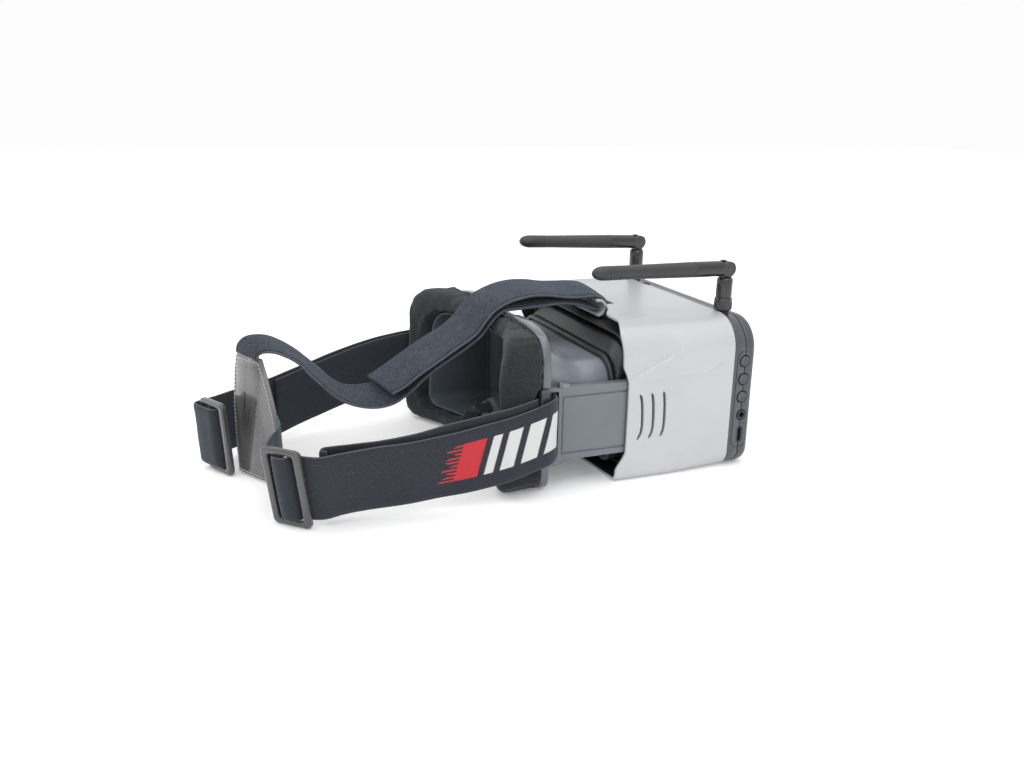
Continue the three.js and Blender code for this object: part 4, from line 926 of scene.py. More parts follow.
rows = [slv(42.0, 61.7, 7.2, 72.9), slv(55, 61.7, 7.2, 72.9), slv(60.6, 61.7, 7.2, 72.9), slv(61.6, 61.7, 7.2, 72.5), slv(62.6, 61.7, 7.2, 71.6), slv(64.6, 61.75, 7.25, 69.4), slv(66.0, 61.75, 7.35, 67.9), slv(66.5, 61.5, 7.6, 67.1), slv(66.8, 61.3, 7.8, 66.7), slv(67.1, 61.8, 7.4, 67.0)]
for k in range(9):
    a = math.pi * k / 8
    rows.append(slv(68.8 - 1.6 * math.cos(a), 61.4 + 1.0 * math.sin(a), 8.0 - 1.0 * math.sin(a), 65.3 + 1.2 * math.sin(a)))
rows += [slv(70.4, 60.3, 9.0, 64.4, 13.4, 5.4), slv(66, 60.1, 9.0, 64.7, 13.4, 5.4), slv(61, 60.1, 8.8, 71.3, 13.4, 5.4), slv(42, 60.1, 8.8, 71.3, 13.4, 5.4)]
sleeve = skin("light_shroud_sleeve", rows, M["rubber"], closed=True, sharp=45)
attach(sleeve, "sleeve", ["shroud_sleeve"])


def hs(y, hw, z0, z1, rt, rb):
    return [(max(-64.1, min(64.1, x)), y, z) for x, z in ring(hw, z0, z1, rt, rb, seg=12, nx=30, nz=24)]


rows = [hs(4, 64.0, 5.0, 77.0, 17, 9), hs(4.4, 64.4, 4.6, 77.4, 17, 9), hs(61.5, 64.4, 4.6, 77.4, 17, 9), hs(62, 64.0, 5.0, 77.0, 16.6, 8.6), hs(62, 63.3, 5.7, 76.3, 16, 8), hs(61.5, 62.9, 6.1, 75.9, 15.5, 7.5),
        hs(22, 62.9, 6.1, 75.9, 15.5, 7.5), hs(22, 57, 11, 72, 8, 8), hs(4, 57, 11, 72, 8, 8)]
house = skin("lens_chamber_wall", rows, M["black"], closed=True, sharp=35)
attach(house, "shell", ["lens_housing"])

# ------------------------------------------------------------------ face frame
half = [(20, 84.9), (29, 86.0), (40, 86.4), (51, 85.8), (59, 84.6), (64.5, 82.8), (68.3, 79.0), (70.6, 74.5), (71.7, 69), (72, 64), (72, 60)]
top = resample([(-x, z) for x, z in half[::-1]] + [(0, 84.7)] + half, 90)
low = resample([(72, 12), (72, 8), (70.4, 3.2), (66.5, 0.6), (61, 0), (54, 0)], 14)
nose = resample([(-26.4, 0.1), (-24.3, 1.2), (-22.6, 5.2), (-20.5, 10.2), (-17.5, 15), (-13.8, 19.3), (-10, 22), (-5, 24), (0, 24.5), (5, 24), (10, 22), (13.8, 19.3), (17.5, 15), (20.5, 10.2), (22.6, 5.2), (24.3, 1.2), (26.4, 0.1)], 44)
notch = [(72, 57.6), (71.7, 56.9), (71.0, 56.6), (65.7, 56.6), (65.0, 56.3), (64.7, 55.6), (64.7, 16.5), (65.0, 15.8), (65.7, 15.5), (71.0, 15.5), (71.7, 15.2), (72, 14.5)]
outline = [tuple(p) for p in top] + notch + [tuple(p) for p in low] + [tuple(p) for p in nose[::-1]] + [(-x, z) for x, z in low[::-1]] + [(-x, z) for x, z in notch[::-1]]
win = []
for x, z in ring(57.5, 12.4, 70.5, 12, 6, seg=8, nx=40, nz=4):
    if z < 20 and abs(x) < 30:
        z = max(z, 12.4 + 17.5 * math.cos(math.pi / 2 * x / 30) ** 2)
    win.append((x, z))
outline = [(x, z - 1.8 * min(1.0, max(0.0, (x - 30) / 25.0)) if z > 66 else z) for x, z in outline]
fr = plate("face_frame_plate", [outline, win], 109.0, 114.0, 1.2, "y", M["frame"], 40, 4)
attach(fr, "carriage", ["face_frame"])

# ------------------------------------------------------------------ smooth cup that lines the foam
def y_face(x, z):
    return 118 + 24 * abs(x / 76) ** 1.6 + 5.5 * (1 - z / 88) + 0.06 * x


def hole(k, y):
    out = []
    for x, z in ring(59.3 - k, 10.7 + k, 72.3 - k, 13.3 - k, 8.3 - k, seg=12, nx=80, nz=30):
        if z < 30 and abs(x) < 30:
            z += 17.5 * math.cos(math.pi / 2 * x / 30) ** 2
        out.append((x, y(x, z), z))
    return out


def y_cup(x, z):
    a = y_face(x, z) - 6.5
    return 115.7 + 0.5 * ((a - 115.7) + math.sqrt((a - 115.7) ** 2 + 1.0))


rows = [hole(1.95, lambda x, z, q=q: 96.0 + 18.0 * q) for q in np.linspace(0, 1, 8)]
rows += [hole(0.0, lambda x, z: 114.1)] + [hole(0.0, lambda x, z, q=q: 114.1 + (y_cup(x, z) - 0.7 - 114.1) * q) for q in np.linspace(0.1, 1, 8)]
for k in range(1, 9):
    a = math.pi * k / 8
    rows.append(hole(0.7 - 0.7 * math.cos(a), lambda x, z, a=a: y_cup(x, z) - 0.7 + 0.7 * math.sin(a)))
rows += [hole(1.4 + 0.8 * q, lambda x, z, q=q: 114.1 + (y_cup(x, z) - 0.7 - 114.1) * (1 - q)) for q in np.linspace(0.06, 1, 10)]
rows += [hole(2.3, lambda x, z, q=q: 114.0 - 18.0 * q) for q in np.linspace(0.05, 1, 10)]
attach(skin("eye_cup_lining", rows, M["cup"], closed=True, sharp=50), "carriage", ["foam_cup"])

# ------------------------------------------------------------------ sliding arms
for s, side in SIDES:
    def xx(a, b):
        return (a, b) if s > 0 else (-b, -a)

    core = plate("a", [rrect(33.5, 113.8, 16.1, 56.0, 1.2, 4), rrect(104.0, 108.9, 18.0, 54.2, 0.7, 4)], *xx(65.2, 69.45), 0.35, "x", M["grey"])
    rail_t = plate("b", [rrect(33.6, 102.9, 51.4, 55.95, 0.9, 4)], *xx(67.6, 70.2), 0.42, "x", M["grey"])
    rail_b = plate("b", [rrect(33.6, 102.9, 16.15, 19.6, 0.9, 4)], *xx(67.6, 70.2), 0.42, "x", M["grey"])
    panel = plate("b", [rrect(33.6, 101.2, 20.4, 50.6, 1.0, 4)], *xx(67.6, 70.05), 0.38, "x", M["grey"])
    end = plate("b", [rrect(102.2, 113.75, 16.15, 55.95, 0.9, 4), rrect(104.0, 108.9, 18.0, 54.2, 0.7, 4)], *xx(67.6, 70.2), 0.35, "x", M["grey"])
    clip = bevel(boxm("b", *xx(66.0, 69.6), 97.6, 102.4, 55.2, 57.5, M["grey"]), 0.45, 3)
    clip2 = bevel(boxm("b", *xx(66.4, 69.9), 101.4, 103.6, 55.2, 58.9, M["frame"]), 0.6, 4)
    arm = join("slide_arm_" + side, [core, rail_t, rail_b, panel, end, clip])
    shade(arm.data, 38)
    attach(arm, "carriage", ["arm_" + side])
    clip2.name = "arm_catch_" + side
    attach(clip2, "carriage")

# ------------------------------------------------------------------ tri-glides
GL = {"right": ((-67.6, 240.6), (-73.2, 246.2), (0.7, 0.714)), "left": ((13.6, 266.4), (9.9, 269.0), (0.89, 0.456))}


def gp(side, s, n, z):
    c, tp, d = GL[side]
    f = z / 42.0
    return (c[0] + (tp[0] - c[0]) * f + d[0] * s - d[1] * n, c[1] + (tp[1] - c[1]) * f + d[1] * s + d[0] * n, z)


for side in ("right", "left"):
    g = plate("strap_glide_" + side, [rrect(-10.75, 10.75, 0.0, 42.0, 3.0, 8), rrect(-6.85, -1.6, 3.3, 38.7, 1.3, 5), rrect(1.6, 6.85, 3.3, 38.7, 1.3, 5)], -1.8, 1.8, 1.15, "y", M["glide"], 40, 4)
    for v in g.data.vertices:
        v.co = Vector(W(gp(side, v.co.x * 1000, v.co.y * 1000 + Y0, v.co.z * 1000)))
    g.data.update()
    shade(g.data, 40)
    attach(g, "carriage", ["tri_glide_" + side])

# ------------------------------------------------------------------ elastic bands
R = lambda s, n, z: gp("right", s, n, z)
Lg = lambda s, n, z: gp("left", s, n, z)


def weave_r(z):
    return [R(-10, -3.3, z), R(-7.2, -3.2, z), R(-4.9, -2.0, z), R(-4.2, 0, z), R(-3.5, 2.0, z), R(-1.4, 3.1, z), R(1.4, 3.1, z), R(3.5, 2.0, z), R(4.2, 0, z), R(4.9, -2.0, z), R(7.2, -3.2, z), R(10, -3.4, z)]


A = [(-67.6, 106.5, 53.2), (-72.5, 106.7, 53.2), (-76.2, 108.6, 53.1), (-79.2, 113.0, 52.4), (-80.4, 120, 50.6), (-80.6, 135, 47.0), (-80.6, 154, 44.0), (-80.6, 168, 42.0), (-80.6, 184, 40.4), (-80.6, 204, 39.8), (-81.4, 220, 39.2), (-81.8, 230, 38.6)] + weave_r(38.3) + [(-55.0, 250.2, 38.3), (-45, 246.4, 38.3), (-35, 242.0, 38.3), (-25, 239.6, 38.3), (-16.2, 239.2, 38.3)]
B = [(-67.6, 106.5, 18.8), (-72.5, 106.7, 18.8), (-76.0, 108.6, 18.7), (-78.6, 113.0, 17.8), (-79.4, 120, 16.0), (-79.4, 135, 12.4), (-78.4, 154, 9.4), (-75.6, 168, 7.4), (-74.6, 184, 5.8), (-73.4, 204, 5.2), (-73.6, 218, 4.6), (-74.6, 226, 4.0)] + weave_r(3.7) + [(-52.0, 247.6, 3.7), (-44, 244.6, 3.7), (-36, 241.2, 3.7), (-28.5, 239.2, 3.7), (-21.4, 238.8, 3.7)]
strap("band_right", A, B, 1.7, M["elastic_bars"], 300, rep=["side_band_right"], ripple=0.25, seed=3, edge_wave=0.22)
A = [(-77.6, 119, 54.2), (-77.9, 135, 50.8), (-77.9, 154, 48.0), (-77.7, 168, 45.8), (-77.3, 184, 43.2), (-76.2, 200, 41.2), (-75.2, 212, 41.0), (-74.9, 221, 40.8), (-75.6, 226.5, 40.6), (-77.2, 227.6, 40.4), (-78.2, 225.4, 40.2)]
B = [(-76.7, 119, 19.8), (-76.8, 135, 16.4), (-75.6, 154, 13.3), (-72.9, 168, 11.0), (-71.4, 184, 8.3), (-70.0, 200, 6.2), (-68.8, 212, 5.8), (-68.6, 220, 5.4), (-69.2, 225, 5.2), (-70.6, 226.2, 5.0), (-71.6, 224.2, 4.8)]
strap("band_return_fold_right", A, B, 1.6, M["elastic"], 130, rep=["band_return_right"], ripple=0.35, seed=8, edge_wave=0.4)
A = [(67.6, 106.5, 53.2), (72.5, 106.7, 53.2), (75.6, 108.6, 53.3), (78.4, 113.4, 53.8), (79.8, 122, 55), (79.5, 140, 54.9), (77.4, 156, 53.6), (75.0, 172, 51.2), (71.6, 186, 48.4), (68.6, 196, 46.2), (64.6, 209, 43.2), (58.8, 222, 40.6), (51.6, 234.5, 39.0), (44.0, 246.5, 38.4), (36.5, 257.5, 38.3), (30.0, 265.5, 38.3)] + \
    [Lg(14.0, 2.6, 38.3), Lg(10.5, 3.6, 38.3), Lg(7, 3.8, 38.3), Lg(3, 3.6, 38.3), Lg(-2.0, 3.2, 38.3), Lg(-3.8, 1.8, 38.3), Lg(-4.3, -0.2, 38.3), Lg(-4.2, -2.4, 38.3)]
B = [(67.6, 106.5, 18.8), (72.5, 106.7, 18.8), (75.6, 108.6, 18.9), (78.4, 113.4, 19.4), (79.8, 122, 20.5), (79.5, 140, 20.4), (77.4, 156, 19.1), (75.0, 172, 16.7), (71.6, 186, 14.0), (68.6, 196, 11.8), (64.6, 209, 8.7), (58.8, 222, 6.1), (51.8, 234.5, 4.4), (44.8, 246.5, 3.8), (38.0, 257.0, 3.7), (32.6, 264.2, 3.7)] + \
    [Lg(14.0, 2.6, 3.7), Lg(10.5, 3.6, 3.7), Lg(7, 3.8, 3.7), Lg(3, 3.6, 3.7), Lg(-2.0, 3.2, 3.7), Lg(-3.8, 1.8, 3.7), Lg(-4.3, -0.2, 3.7), Lg(-4.2, -2.4, 3.7)]
strap("band_left", A, B, 1.7, M["elastic"], 300, rep=["side_band_left"], ripple=0.25, seed=5, edge_wave=0.22)
A = [(77.2, 119, 54.0), (77.0, 140, 53.9), (74.9, 156, 52.6), (72.2, 171.4, 50.2), (68.8, 185.2, 47.4), (65.8, 195, 45.2), (61.8, 207.8, 42.2), (56.2, 220.4, 39.8), (50.4, 230.4, 38.4)]
B = [(x, y, z - 33.6) for x, y, z in A]
strap("band_return_fold_left", A, B, 1.6, M["elastic"], 120, rep=["band_return_left"], ripple=0.3, seed=12, edge_wave=0.3)

# ------------------------------------------------------------------ top strap
near_up = [(50.8, 80.6), (50.9, 83.8), (52.0, 86.9), (54.1, 89.1), (57.2, 90.3), (61, 90.7), (70, 90.7), (80, 91.6), (88, 92.8), (97, 93.2), (103, 92.4), (109.2, 91.2), (115, 89.0), (120.2, 85.6), (124.8, 80.6), (130.2, 74.2), (139.8, 67.4), (150.6, 60.7), (162, 54.0), (171.2, 47.6)]
far_up = [(50.4, 80.6), (49.9, 84.4), (50.4, 88.4), (52.4, 91.2), (56.2, 92.4), (61, 92.9), (70, 93.3), (80, 93.9), (88, 95.1), (97, 95.5), (103.2, 94.9), (109.8, 93.4), (116.2, 91.1), (122.2, 87.9), (127.2, 83.4), (132, 77.6), (140.2, 70.6), (151.7, 64.4), (163.2, 57.6), (173.1, 51.2)]
A = [(-17.6, y, z) for y, z in near_up] + [(-17.4, 177.8, 44.6)]
B = [(17.6, y, z) for y, z in far_up] + [(17.4, 183.6, 45.4)]
top_up = strap("top_strap_upper", A, B, 2.2, M["velvet"], 230, m=18, body=None, slot="strap_velvet", rep=["top_strap_overlap", "top_strap_loop"], ripple=0.22, seed=21, edge_wave=0.12, crown=0.25, under=M["hook"])
A = [(-16.6, 55.8, 83.2), (-16.6, 58.4, 83.4), (-16.7, 62, 84.3), (-16.8, 67, 85.9), (-16.9, 75, 87.2), (-16.9, 84, 87.5), (-16.8, 96.0, 86.8), (-16.8, 102.0, 86.3), (-16.8, 108, 86.1), (-16.8, 113.4, 85.9), (-16.8, 118.0, 83.2), (-16.8, 122.4, 78.6), (-16.8, 127.8, 72.1), (-16.8, 138, 64.9),
     (-16.6, 149, 58.1), (-16.3, 160.4, 50.2), (-16, 169.5, 42.8), (-15.5, 176.4, 38.4), (-15, 184.3, 36.9), (-14.5, 193.2, 38), (-14, 200.9, 40.5), (-12.7, 208.1, 44.9), (-11.3, 214.1, 50.7), (-10, 220, 57.1), (-8.7, 224.8, 62.7), (-7.3, 231.7, 67.4), (-6, 237.7, 69.9), (-4.6, 242.8, 69.6), (-3.4, 245.2, 67.6), (-3.2, 245.2, 65.4)]
B = [(16.6, 55.8, 83.2), (16.6, 58.4, 84.0), (16.7, 62, 86.2), (16.8, 67, 88.8), (16.9, 75, 90.5), (16.9, 84, 91.4), (16.8, 96.0, 92.8), (16.8, 102.4, 92.1), (16.8, 108.6, 90.7), (16.8, 114.6, 88.5), (16.8, 120.2, 85.5), (16.8, 124.8, 81.3), (16.8, 129.8, 75.5), (16.8, 138.4, 68.1),
     (16.6, 150, 61.7), (16.3, 161.3, 53.6), (16, 170, 46.6), (15.5, 177, 43.2), (15, 184.6, 42.0), (14.5, 192.5, 41.9), (14, 199.6, 43.4), (14, 206.4, 48.2), (14.2, 212.4, 54.0), (14.5, 218.2, 59.6), (14.8, 223.8, 64.6), (15.4, 232.2, 70.2), (16, 240.4, 73.7), (16.9, 249.4, 73.6), (17.6, 253.2, 70.0), (18.0, 254.1, 65.8)]
top_lo = strap("top_strap_lower", A, B, 2.0, M["velvet"], 330, m=18, body=None, slot="strap_velvet", rep=["top_strap"], ripple=0.22, seed=21, edge_wave=0.25)

# ------------------------------------------------------------------ leather back pad
PAD = [(1.0, (-20.4, 240.2), (9.6, 258.8)), (22, (-17.6, 239.8), (13.4, 259.0)), (38, (-15.0, 240.8), (15.3, 258.6)), (56, (-8.0, 243.8), (17.2, 256.8)), (65.5, (-2.9, 245.8), (18.3, 254.9))]
PT = 4.0


def pad_point(f, h, out):
    z = 1.0 + 64.5 * h
    zs = [r[0] for r in PAD]
    a = [float(smooth_lerp(z, list(zip(zs, [r[1][i] for r in PAD])), 3.0)) for i in (0, 1)]
    b = [float(smooth_lerp(z, list(zip(zs, [r[2][i] for r in PAD])), 3.0)) for i in (0, 1)]
    dx, dy = b[0] - a[0], b[1] - a[1]
    L = math.hypot(dx, dy)
    o = 1.6 * 4 * f * (1 - f) + out
    return (a[0] + dx * f - dy / L * o, a[1] + dy * f + dx / L * o, z)


def pad_mesh():
    nf, nh = 40, 74
    v, f, pin = [], [], []

    def puff(a, b):
        e = min(a, 1 - a) * 33.0
        g = min(b, 1 - b) * 64.5
        d = min(e, g)
        t = min(1.0, max(0.0, (d - 2.4) / 5.0))
        return d, t * t * (3 - 2 * t)

    for layer, base, sg in ((0, -0.9, 1), (1, -PT + 0.9, -1)):
        for j in range(nh + 1):
            for i in range(nf + 1):
                a, b = i / nf, j / nh
                d, t = puff(a, b)
                off = base + sg * (0.25 * t + 0.15)
                if d < 0.1:
                    off = -PT / 2
                v.append(pad_point(a, b, off))
                pin.append(1.0 if d < 2.6 else 0.0)
    w = nf + 1
    N = w * (nh + 1)
    for layer in (0, 1):
        for j in range(nh):
            for i in range(nf):
                q = [layer * N + j * w + i, layer * N + j * w + i + 1, layer * N + (j + 1) * w + i + 1, layer * N + (j + 1) * w + i]
                f.append(tuple(q if layer == 0 else q[::-1]))
    rim = [(i, 0) for i in range(nf)] + [(nf, j) for j in range(nh)] + [(i, nh) for i in range(nf, 0, -1)] + [(0, j) for j in range(nh, 0, -1)]
    for k in range(len(rim)):
        a, b = rim[k], rim[(k + 1) % len(rim)]
        p, q = a[1] * w + a[0], b[1] * w + b[0]
        f.append((p, q, N + q, N + p))
    ob = mk("back_cushion", v, f, M["leather"], sharp=60)
    return ob, pin


def soften(ob, pins, pressure, cap, frames=18, seams=None, stiff=8.0, gravity=0.0, shrink=0.0):
    """puffs a closed mesh with cloth pressure; each vertex moves at most cap millimetres"""
    rest = np.array([v.co for v in ob.data.vertices], float)
    md = ob.modifiers.new("puff", "CLOTH")
    cs = md.settings
    cs.quality = 6
    cs.mass = 0.15
    cs.tension_stiffness = cs.compression_stiffness = stiff
    cs.shear_stiffness = stiff * 0.6
    cs.bending_stiffness = 0.08
    cs.use_pressure = True
    cs.uniform_pressure_force = pressure
    cs.effector_weights.gravity = gravity
    cs.air_damping = 2.0
    if shrink:
        cs.shrink_min = shrink
    if pins is not None:
        vg = ob.vertex_groups.new(name="pin")
        for i, wv in enumerate(pins):
            if wv > 0:
                vg.add([i], wv, "REPLACE")
        cs.vertex_group_mass = "pin"
    md.collision_settings.use_collision = False
    md.point_cache.frame_start, md.point_cache.frame_end = 1, frames
    for fr_ in range(1, frames + 1):
        SC.frame_set(fr_)
    dg = bpy.context.evaluated_depsgraph_get()
    ev = ob.evaluated_get(dg)
    co = np.array([v.co for v in ev.data.vertices], float)
    ob.modifiers.clear()
    SC.frame_set(1)
    d = co - rest
    d[~np.isfinite(d).all(axis=1)] = 0.0
    L = np.linalg.norm(d, axis=1)
    k = np.minimum(1.0, (cap / 1000.0) / np.maximum(L, 1e-9))
    rest += d * k[:, None]
    ob.data.vertices.foreach_set("co", rest.astype(np.float32).ravel())
    ob.data.update()
    ob.vertex_groups.clear()
    print("soften", ob.name, "moved mm mean %.2f max %.2f" % (L.mean() * 1000, L.max() * 1000))
    return ob


def subdivide(ob, levels=1, sharp=60):
    m = ob.modifiers.new("sub", "SUBSURF")
    m.levels = m.render_levels = levels
    bake(ob)
    shade(ob.data, sharp)
    return ob


pad, pad_pin = pad_mesh()
soften(pad, pad_pin, 3.0, 1.1, 16, shrink=-0.03)
co = np.array([v.co for v in pad.data.vertices], float)
subdivide(pad, 1)
attach(pad, "carriage", ["back_pad"])


def tube_rope(name, pts, r, mat, seg=8, closed=False):
    P = np.asarray(pts, float)
    n = len(P)
    tan = np.gradient(P, axis=0)
    tan /= np.linalg.norm(tan, axis=1)[:, None]
    up_ = np.array([0.13, 0.21, 0.97])
    v, f = [], []
    for i in range(n):
        a = np.cross(tan[i], up_)
        if np.linalg.norm(a) < 1e-3:
            a = np.cross(tan[i], [1, 0, 0])
        a /= np.linalg.norm(a)
        b = np.cross(tan[i], a)
        for k in range(seg):
            th = 2 * math.pi * k / seg
            v.append(tuple(P[i] + r * (math.cos(th) * a + math.sin(th) * b)))
    for i in range(n - 1):
        for k in range(seg):
            k2 = (k + 1) % seg
            f.append((i * seg + k, i * seg + k2, (i + 1) * seg + k2, (i + 1) * seg + k))
    f.append(tuple(range(seg)))
    f.append(tuple((n - 1) * seg + k for k in range(seg)))
    return mk(name, v, f, mat, sharp=60)


def stitch_row(name, path, pitch, length, r, mat, lift):
    """short round stitches laid along a path given as a function of distance"""
    P = np.asarray(path, float)
    d = np.r_[0, np.cumsum(np.linalg.norm(np.diff(P, axis=0), axis=1))]
    v, f = [], []
    count = int(d[-1] / pitch)
    for k in range(count):
        s0 = (k + 0.15) * pitch
        pts = []
        for t in np.linspace(0, 1, 5):
            s_ = s0 + t * length
            p = np.array([np.interp(s_, d, P[:, j]) for j in range(3)])
            nrm_ = np.array([np.interp(s_, d, lift[:, j]) for j in range(3)])
            pts.append(p + nrm_ * (math.sin(math.pi * t) * r * 0.9 - r * 0.25))
        base = len(v)
        tn = pts[-1] - pts[0]
        tn /= np.linalg.norm(tn)
        a = np.cross(tn, [0.31, 0.2, 0.93])
        a /= np.linalg.norm(a)
        b = np.cross(tn, a)
        for i, p in enumerate(pts):
            rr = r * (0.45, 0.95, 1.0, 0.95, 0.45)[i]
            for q in range(6):
                th = math.pi * q / 3
                v.append(tuple(p + rr * (math.cos(th) * a + math.sin(th) * b)))
        for i in range(4):
            for q in range(6):
                q2 = (q + 1) % 6
                f.append((base + i * 6 + q, base + i * 6 + q2, base + (i + 1) * 6 + q2, base + (i + 1) * 6 + q))
        f.append(tuple(base + q for q in range(6)))
        f.append(tuple(base + 24 + q for q in range(6)))
    return mk(name, v, f, mat, sharp=60)


def pad_loop(inset, out, n=260):
    fi, hi = inset / 33.0, inset / 64.5
    seq = [(t, hi) for t in np.linspace(fi, 1 - fi, 60)] + [(1 - fi, t) for t in np.linspace(hi, 1 - hi, 110)] + [(t, 1 - hi) for t in np.linspace(1 - fi, fi, 50)] + [(fi, t) for t in np.linspace(1 - hi, hi, 110)]
    P = np.array([pad_point(a, b, out) for a, b in seq])
    Q = np.array([pad_point(a, b, out + 1.0) for a, b in seq]) - P
    return P, Q / np.linalg.norm(Q, axis=1)[:, None]


P_, Q_ = pad_loop(1.7, -0.70)
attach(stitch_row("pad_stitch_outer", P_, 2.1, 1.5, 0.26, M["thread"], Q_), "carriage")
P_, Q_ = pad_loop(1.7, -PT + 0.70)
attach(stitch_row("pad_stitch_inner", P_, 2.1, 1.5, 0.26, M["thread"], -Q_), "carriage")
P_, Q_ = pad_loop(0.35, -PT / 2)
attach(tube_rope("pad_piping", np.vstack([P_, P_[:1]]), 0.85, M["leather"], 10), "carriage")

# ------------------------------------------------------------------ face foam
src = NODES["face_foam"]
me = src.data.copy()
me.transform(src.matrix_world)
foam = bpy.data.objects.new("face_cushion", me)
SC.collection.objects.link(foam)
foam.data.materials.clear()
rm = foam.modifiers.new("r", "REMESH")
rm.mode, rm.voxel_size = "VOXEL", 0.0031
bake(foam)
me = foam.data
# starts a little smaller than the solid, held where it is glued to the frame
co = np.array([v.co for v in me.vertices], float)
nr = np.array([v.normal for v in me.vertices], float)
ymm = co[:, 1] * 1000 + Y0
front = np.clip((117.5 - ymm) / 3.0, 0, 1)
thin = np.clip((36 - np.abs(co[:, 0]) * 1000) / 6, 0, 1) * np.clip((38 - co[:, 2] * 1000) / 6, 0, 1)
co -= nr * (0.0009 * (1 - front) * (1 - thin))[:, None]
me.vertices.foreach_set("co", co.astype(np.float32).ravel())
me.update()
soften(foam, list((ymm < 116.6).astype(float)), 4.0, 2.4, 20, shrink=-0.02, stiff=6.0)
foam.data.materials.clear()
foam.data.materials.append(M["knit"])
subdivide(foam, 1)
me = foam.data
co = np.array([v.co for v in me.vertices], float)
me.update()
nr = np.array([v.normal for v in me.vertices], float)
mm = co * 1000 + np.array([0, Y0, 0])
# gathers of the cover where it is pulled in against the frame
perim = np.arctan2(mm[:, 2] - 44, mm[:, 0] / 1.25)
depth = np.clip(1 - (mm[:, 1] - 116) / 16.0, 0, 1) ** 1.3
side = np.clip((np.abs(mm[:, 0]) - 58) / 12, 0, 1) + np.clip((mm[:, 2] - 72) / 10, 0, 1) + np.clip((14 - mm[:, 2]) / 10, 0, 1)
side = np.clip(side, 0, 1)
gather = np.sin(perim * 92 + 2.2 * np.sin(perim * 17) + 0.9 * wobble(mm, 4, 0.03)) * (0.55 + 0.45 * wobble(mm, 9, 0.02))
folds = wobble(mm, 31, 0.035) * 0.45 + wobble(mm, 77, 0.08) * 0.22
calm = 1 - 0.8 * np.clip((34 - np.abs(mm[:, 0])) / 8, 0, 1) * np.clip((38 - mm[:, 2]) / 8, 0, 1)
co[:, 2] += 0.0018 * np.clip(1 - np.abs(mm[:, 0]) / 40, 0, 1) * np.clip((mm[:, 2] - 76) / 4, 0, 1) * np.clip((119 - mm[:, 1]) / 3, 0, 1)
co += nr * (calm * (gather * depth * side * 0.60 + folds * 0.60 * np.clip((mm[:, 1] - 115.2) / 2.0, 0, 1)) / 1000.0)[:, None]
me.vertices.foreach_set("co", co.astype(np.float32).ravel())
me.update()
shade(me, 75)
attach(foam, "carriage", ["face_foam"])

# ------------------------------------------------------------------ finish on the pieces that stay as CAD solids
SLOT = {
    "shell_silver": "shell", "black_plastic": "black", "clear_lens": "lens", "screw_steel": "steel", "shroud_rubber": "rubber", "frame_plastic": "frame", "face_foam": "knit",
    "arm_plastic": "grey", "glide_plastic": "glide", "elastic": "elastic", "pad_leather": "leather", "strap_velvet": "velvet", "display_plastic": "dark", "screen_glass": "screen",
    "board": "board", "cell_wrap": "cell", "brass": "brass",
}
NAME_MAT = {"lcd_gasket": "black", "antenna_pin_right": "steel", "antenna_pin_left": "steel", "av_jack": "black", "usb_port": "steel"}
PREFIX = {"lens_screw": "steel", "cover_screw": "steel", "arm_screw": "steel", "antenna_pin": "antenna", "guide_rail": "black", "lens_retainer": "black", "fresnel": "lens", "lcd_panel": "screen",
          "lcd_gasket": "knit", "main_board": "board", "battery": "cell", "receiver_can": "steel", "switch_strip": "black", "antenna_socket": "black", "av_jack": "black", "usb_port": "black"}
for nm, ob in NODES.items():
    if ob.hide_render:
        continue
    key = next((v for k, v in PREFIX.items() if nm.startswith(k)), None)
    assert key, nm
    for i in range(max(1, len(ob.material_slots))):
        if i < len(ob.material_slots):
            ob.material_slots[i].material = M[key]
        else:
            ob.data.materials.append(M[key])
    if key not in ("lens",) and not nm.startswith(("lens_screw", "cover_screw")):
        b = ob.modifiers.new("edge", "BEVEL")
        b.width, b.segments, b.limit_method, b.angle_limit = 0.00018, 2, "ANGLE", math.radians(40)

# ------------------------------------------------------------------ straps that cross from the shell to the sliding frame
for o in (top_up, top_lo):
    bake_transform(o)

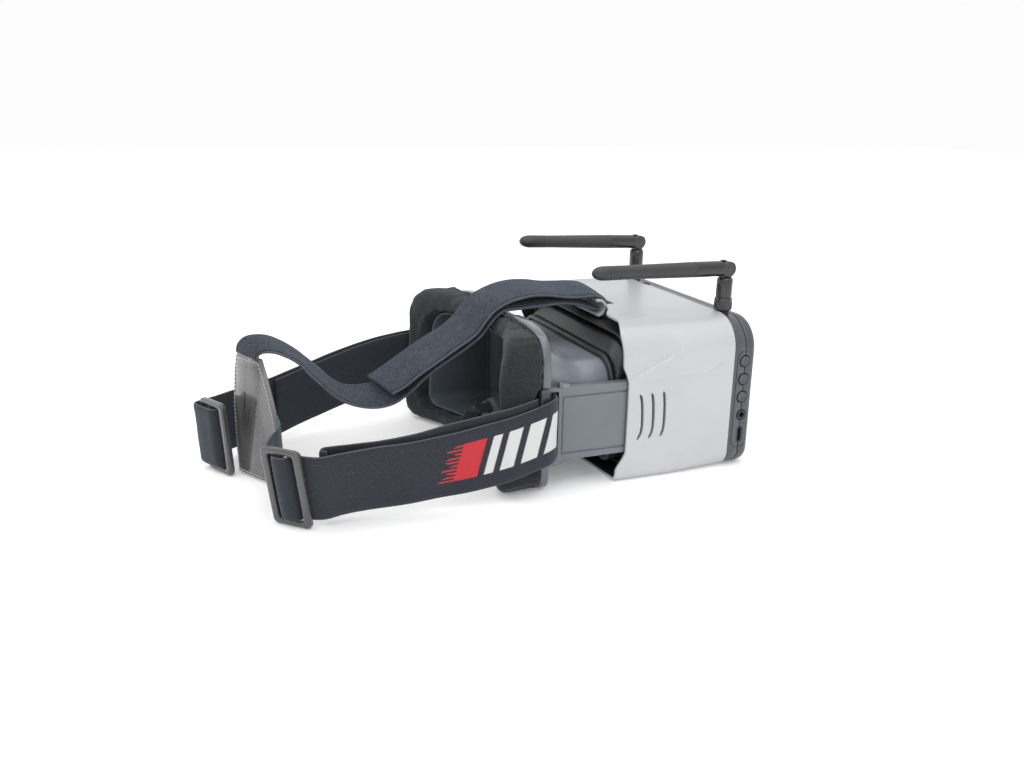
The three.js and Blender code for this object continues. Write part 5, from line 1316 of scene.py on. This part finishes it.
# ------------------------------------------------------------------ floor, lights, camera
fl = NT("floor_paper")
fp = fl.pos()
fl.done(fl.mix(fl.noise(fp, 2.5, 3.0), (0.91, 0.91, 0.915), (0.935, 0.935, 0.94)), 0.8, 0.0, fl.bump(fl.noise(fp, 900.0, 2.0), 0.05, 0.0001), spec=0.1)
fl_b = next(n for n in fl.m.node_tree.nodes if n.type == "BSDF_PRINCIPLED")
fl_b.inputs["Emission Color"].default_value = (1.0, 1.0, 1.0, 1.0)
fl_b.inputs["Emission Strength"].default_value = 0.14
bm = bmesh.new()
for p in ((-3, -3), (3, -3), (3, 3), (-3, 3)):
    bm.verts.new((p[0], p[1], -0.0002))
bm.faces.new(bm.verts)
fm_ = bpy.data.meshes.new("floor")
bm.to_mesh(fm_)
bm.free()
fm_.materials.append(fl.m)
floor = bpy.data.objects.new("floor", fm_)
SC.collection.objects.link(floor)

world = bpy.data.worlds.new("studio")
SC.world = world
world.use_nodes = True
world.node_tree.nodes["Background"].inputs[0].default_value = (1.0, 1.0, 1.0, 1)
world.node_tree.nodes["Background"].inputs[1].default_value = 0.98


def area(name, loc, target, size, power, col=(1, 1, 1), sy=None):
    ld = bpy.data.lights.new(name, "AREA")
    ld.energy, ld.color = power, col
    ld.shape, ld.size, ld.size_y = "RECTANGLE", size, sy or size
    o = bpy.data.objects.new(name, ld)
    SC.collection.objects.link(o)
    o.location = loc
    o.rotation_euler = (Vector(target) - Vector(loc)).to_track_quat("-Z", "Y").to_euler()
    return o


area("key_top", (-0.25, 0.10, 1.15), (0, 0.05, 0.03), 1.3, 7.0)
area("fill_side", (-1.2, 0.1, 0.75), (0, 0.05, 0.04), 0.9, 2.0)
area("rim_back", (0.5, 0.9, 0.7), (0, 0.1, 0.04), 0.6, 2.0)

az, el, ro, dist = math.radians(248.23), math.radians(17.04), math.radians(0.99), 565.89
tgt = np.array([9.28, 98.39, 34.79])
back = np.array([math.sin(az) * math.cos(el), -math.cos(az) * math.cos(el), math.sin(el)])
fw = -back
r_ = np.cross(fw, [0, 0, 1])
r_ /= np.linalg.norm(r_)
u_ = np.cross(r_, fw)
r2 = r_ * math.cos(ro) + u_ * math.sin(ro)
u2 = -r_ * math.sin(ro) + u_ * math.cos(ro)
C = tgt + back * dist
cd = bpy.data.cameras.new("camera")
cam = bpy.data.objects.new("camera", cd)
SC.collection.objects.link(cam)
mw = Matrix.Identity(4)
for i in range(3):
    mw[i][0], mw[i][1], mw[i][2] = float(r2[i]), float(u2[i]), float(back[i])
mw[0][3], mw[1][3], mw[2][3] = W(C)
cam.matrix_world = mw
cd.sensor_width, cd.lens = 36.0, 36.0 * 950.65 / 1024
cd.clip_start, cd.clip_end = 0.01, 20
SC.camera = cam
SC.view_settings.view_transform = "Standard"
SC.view_settings.look = "None"
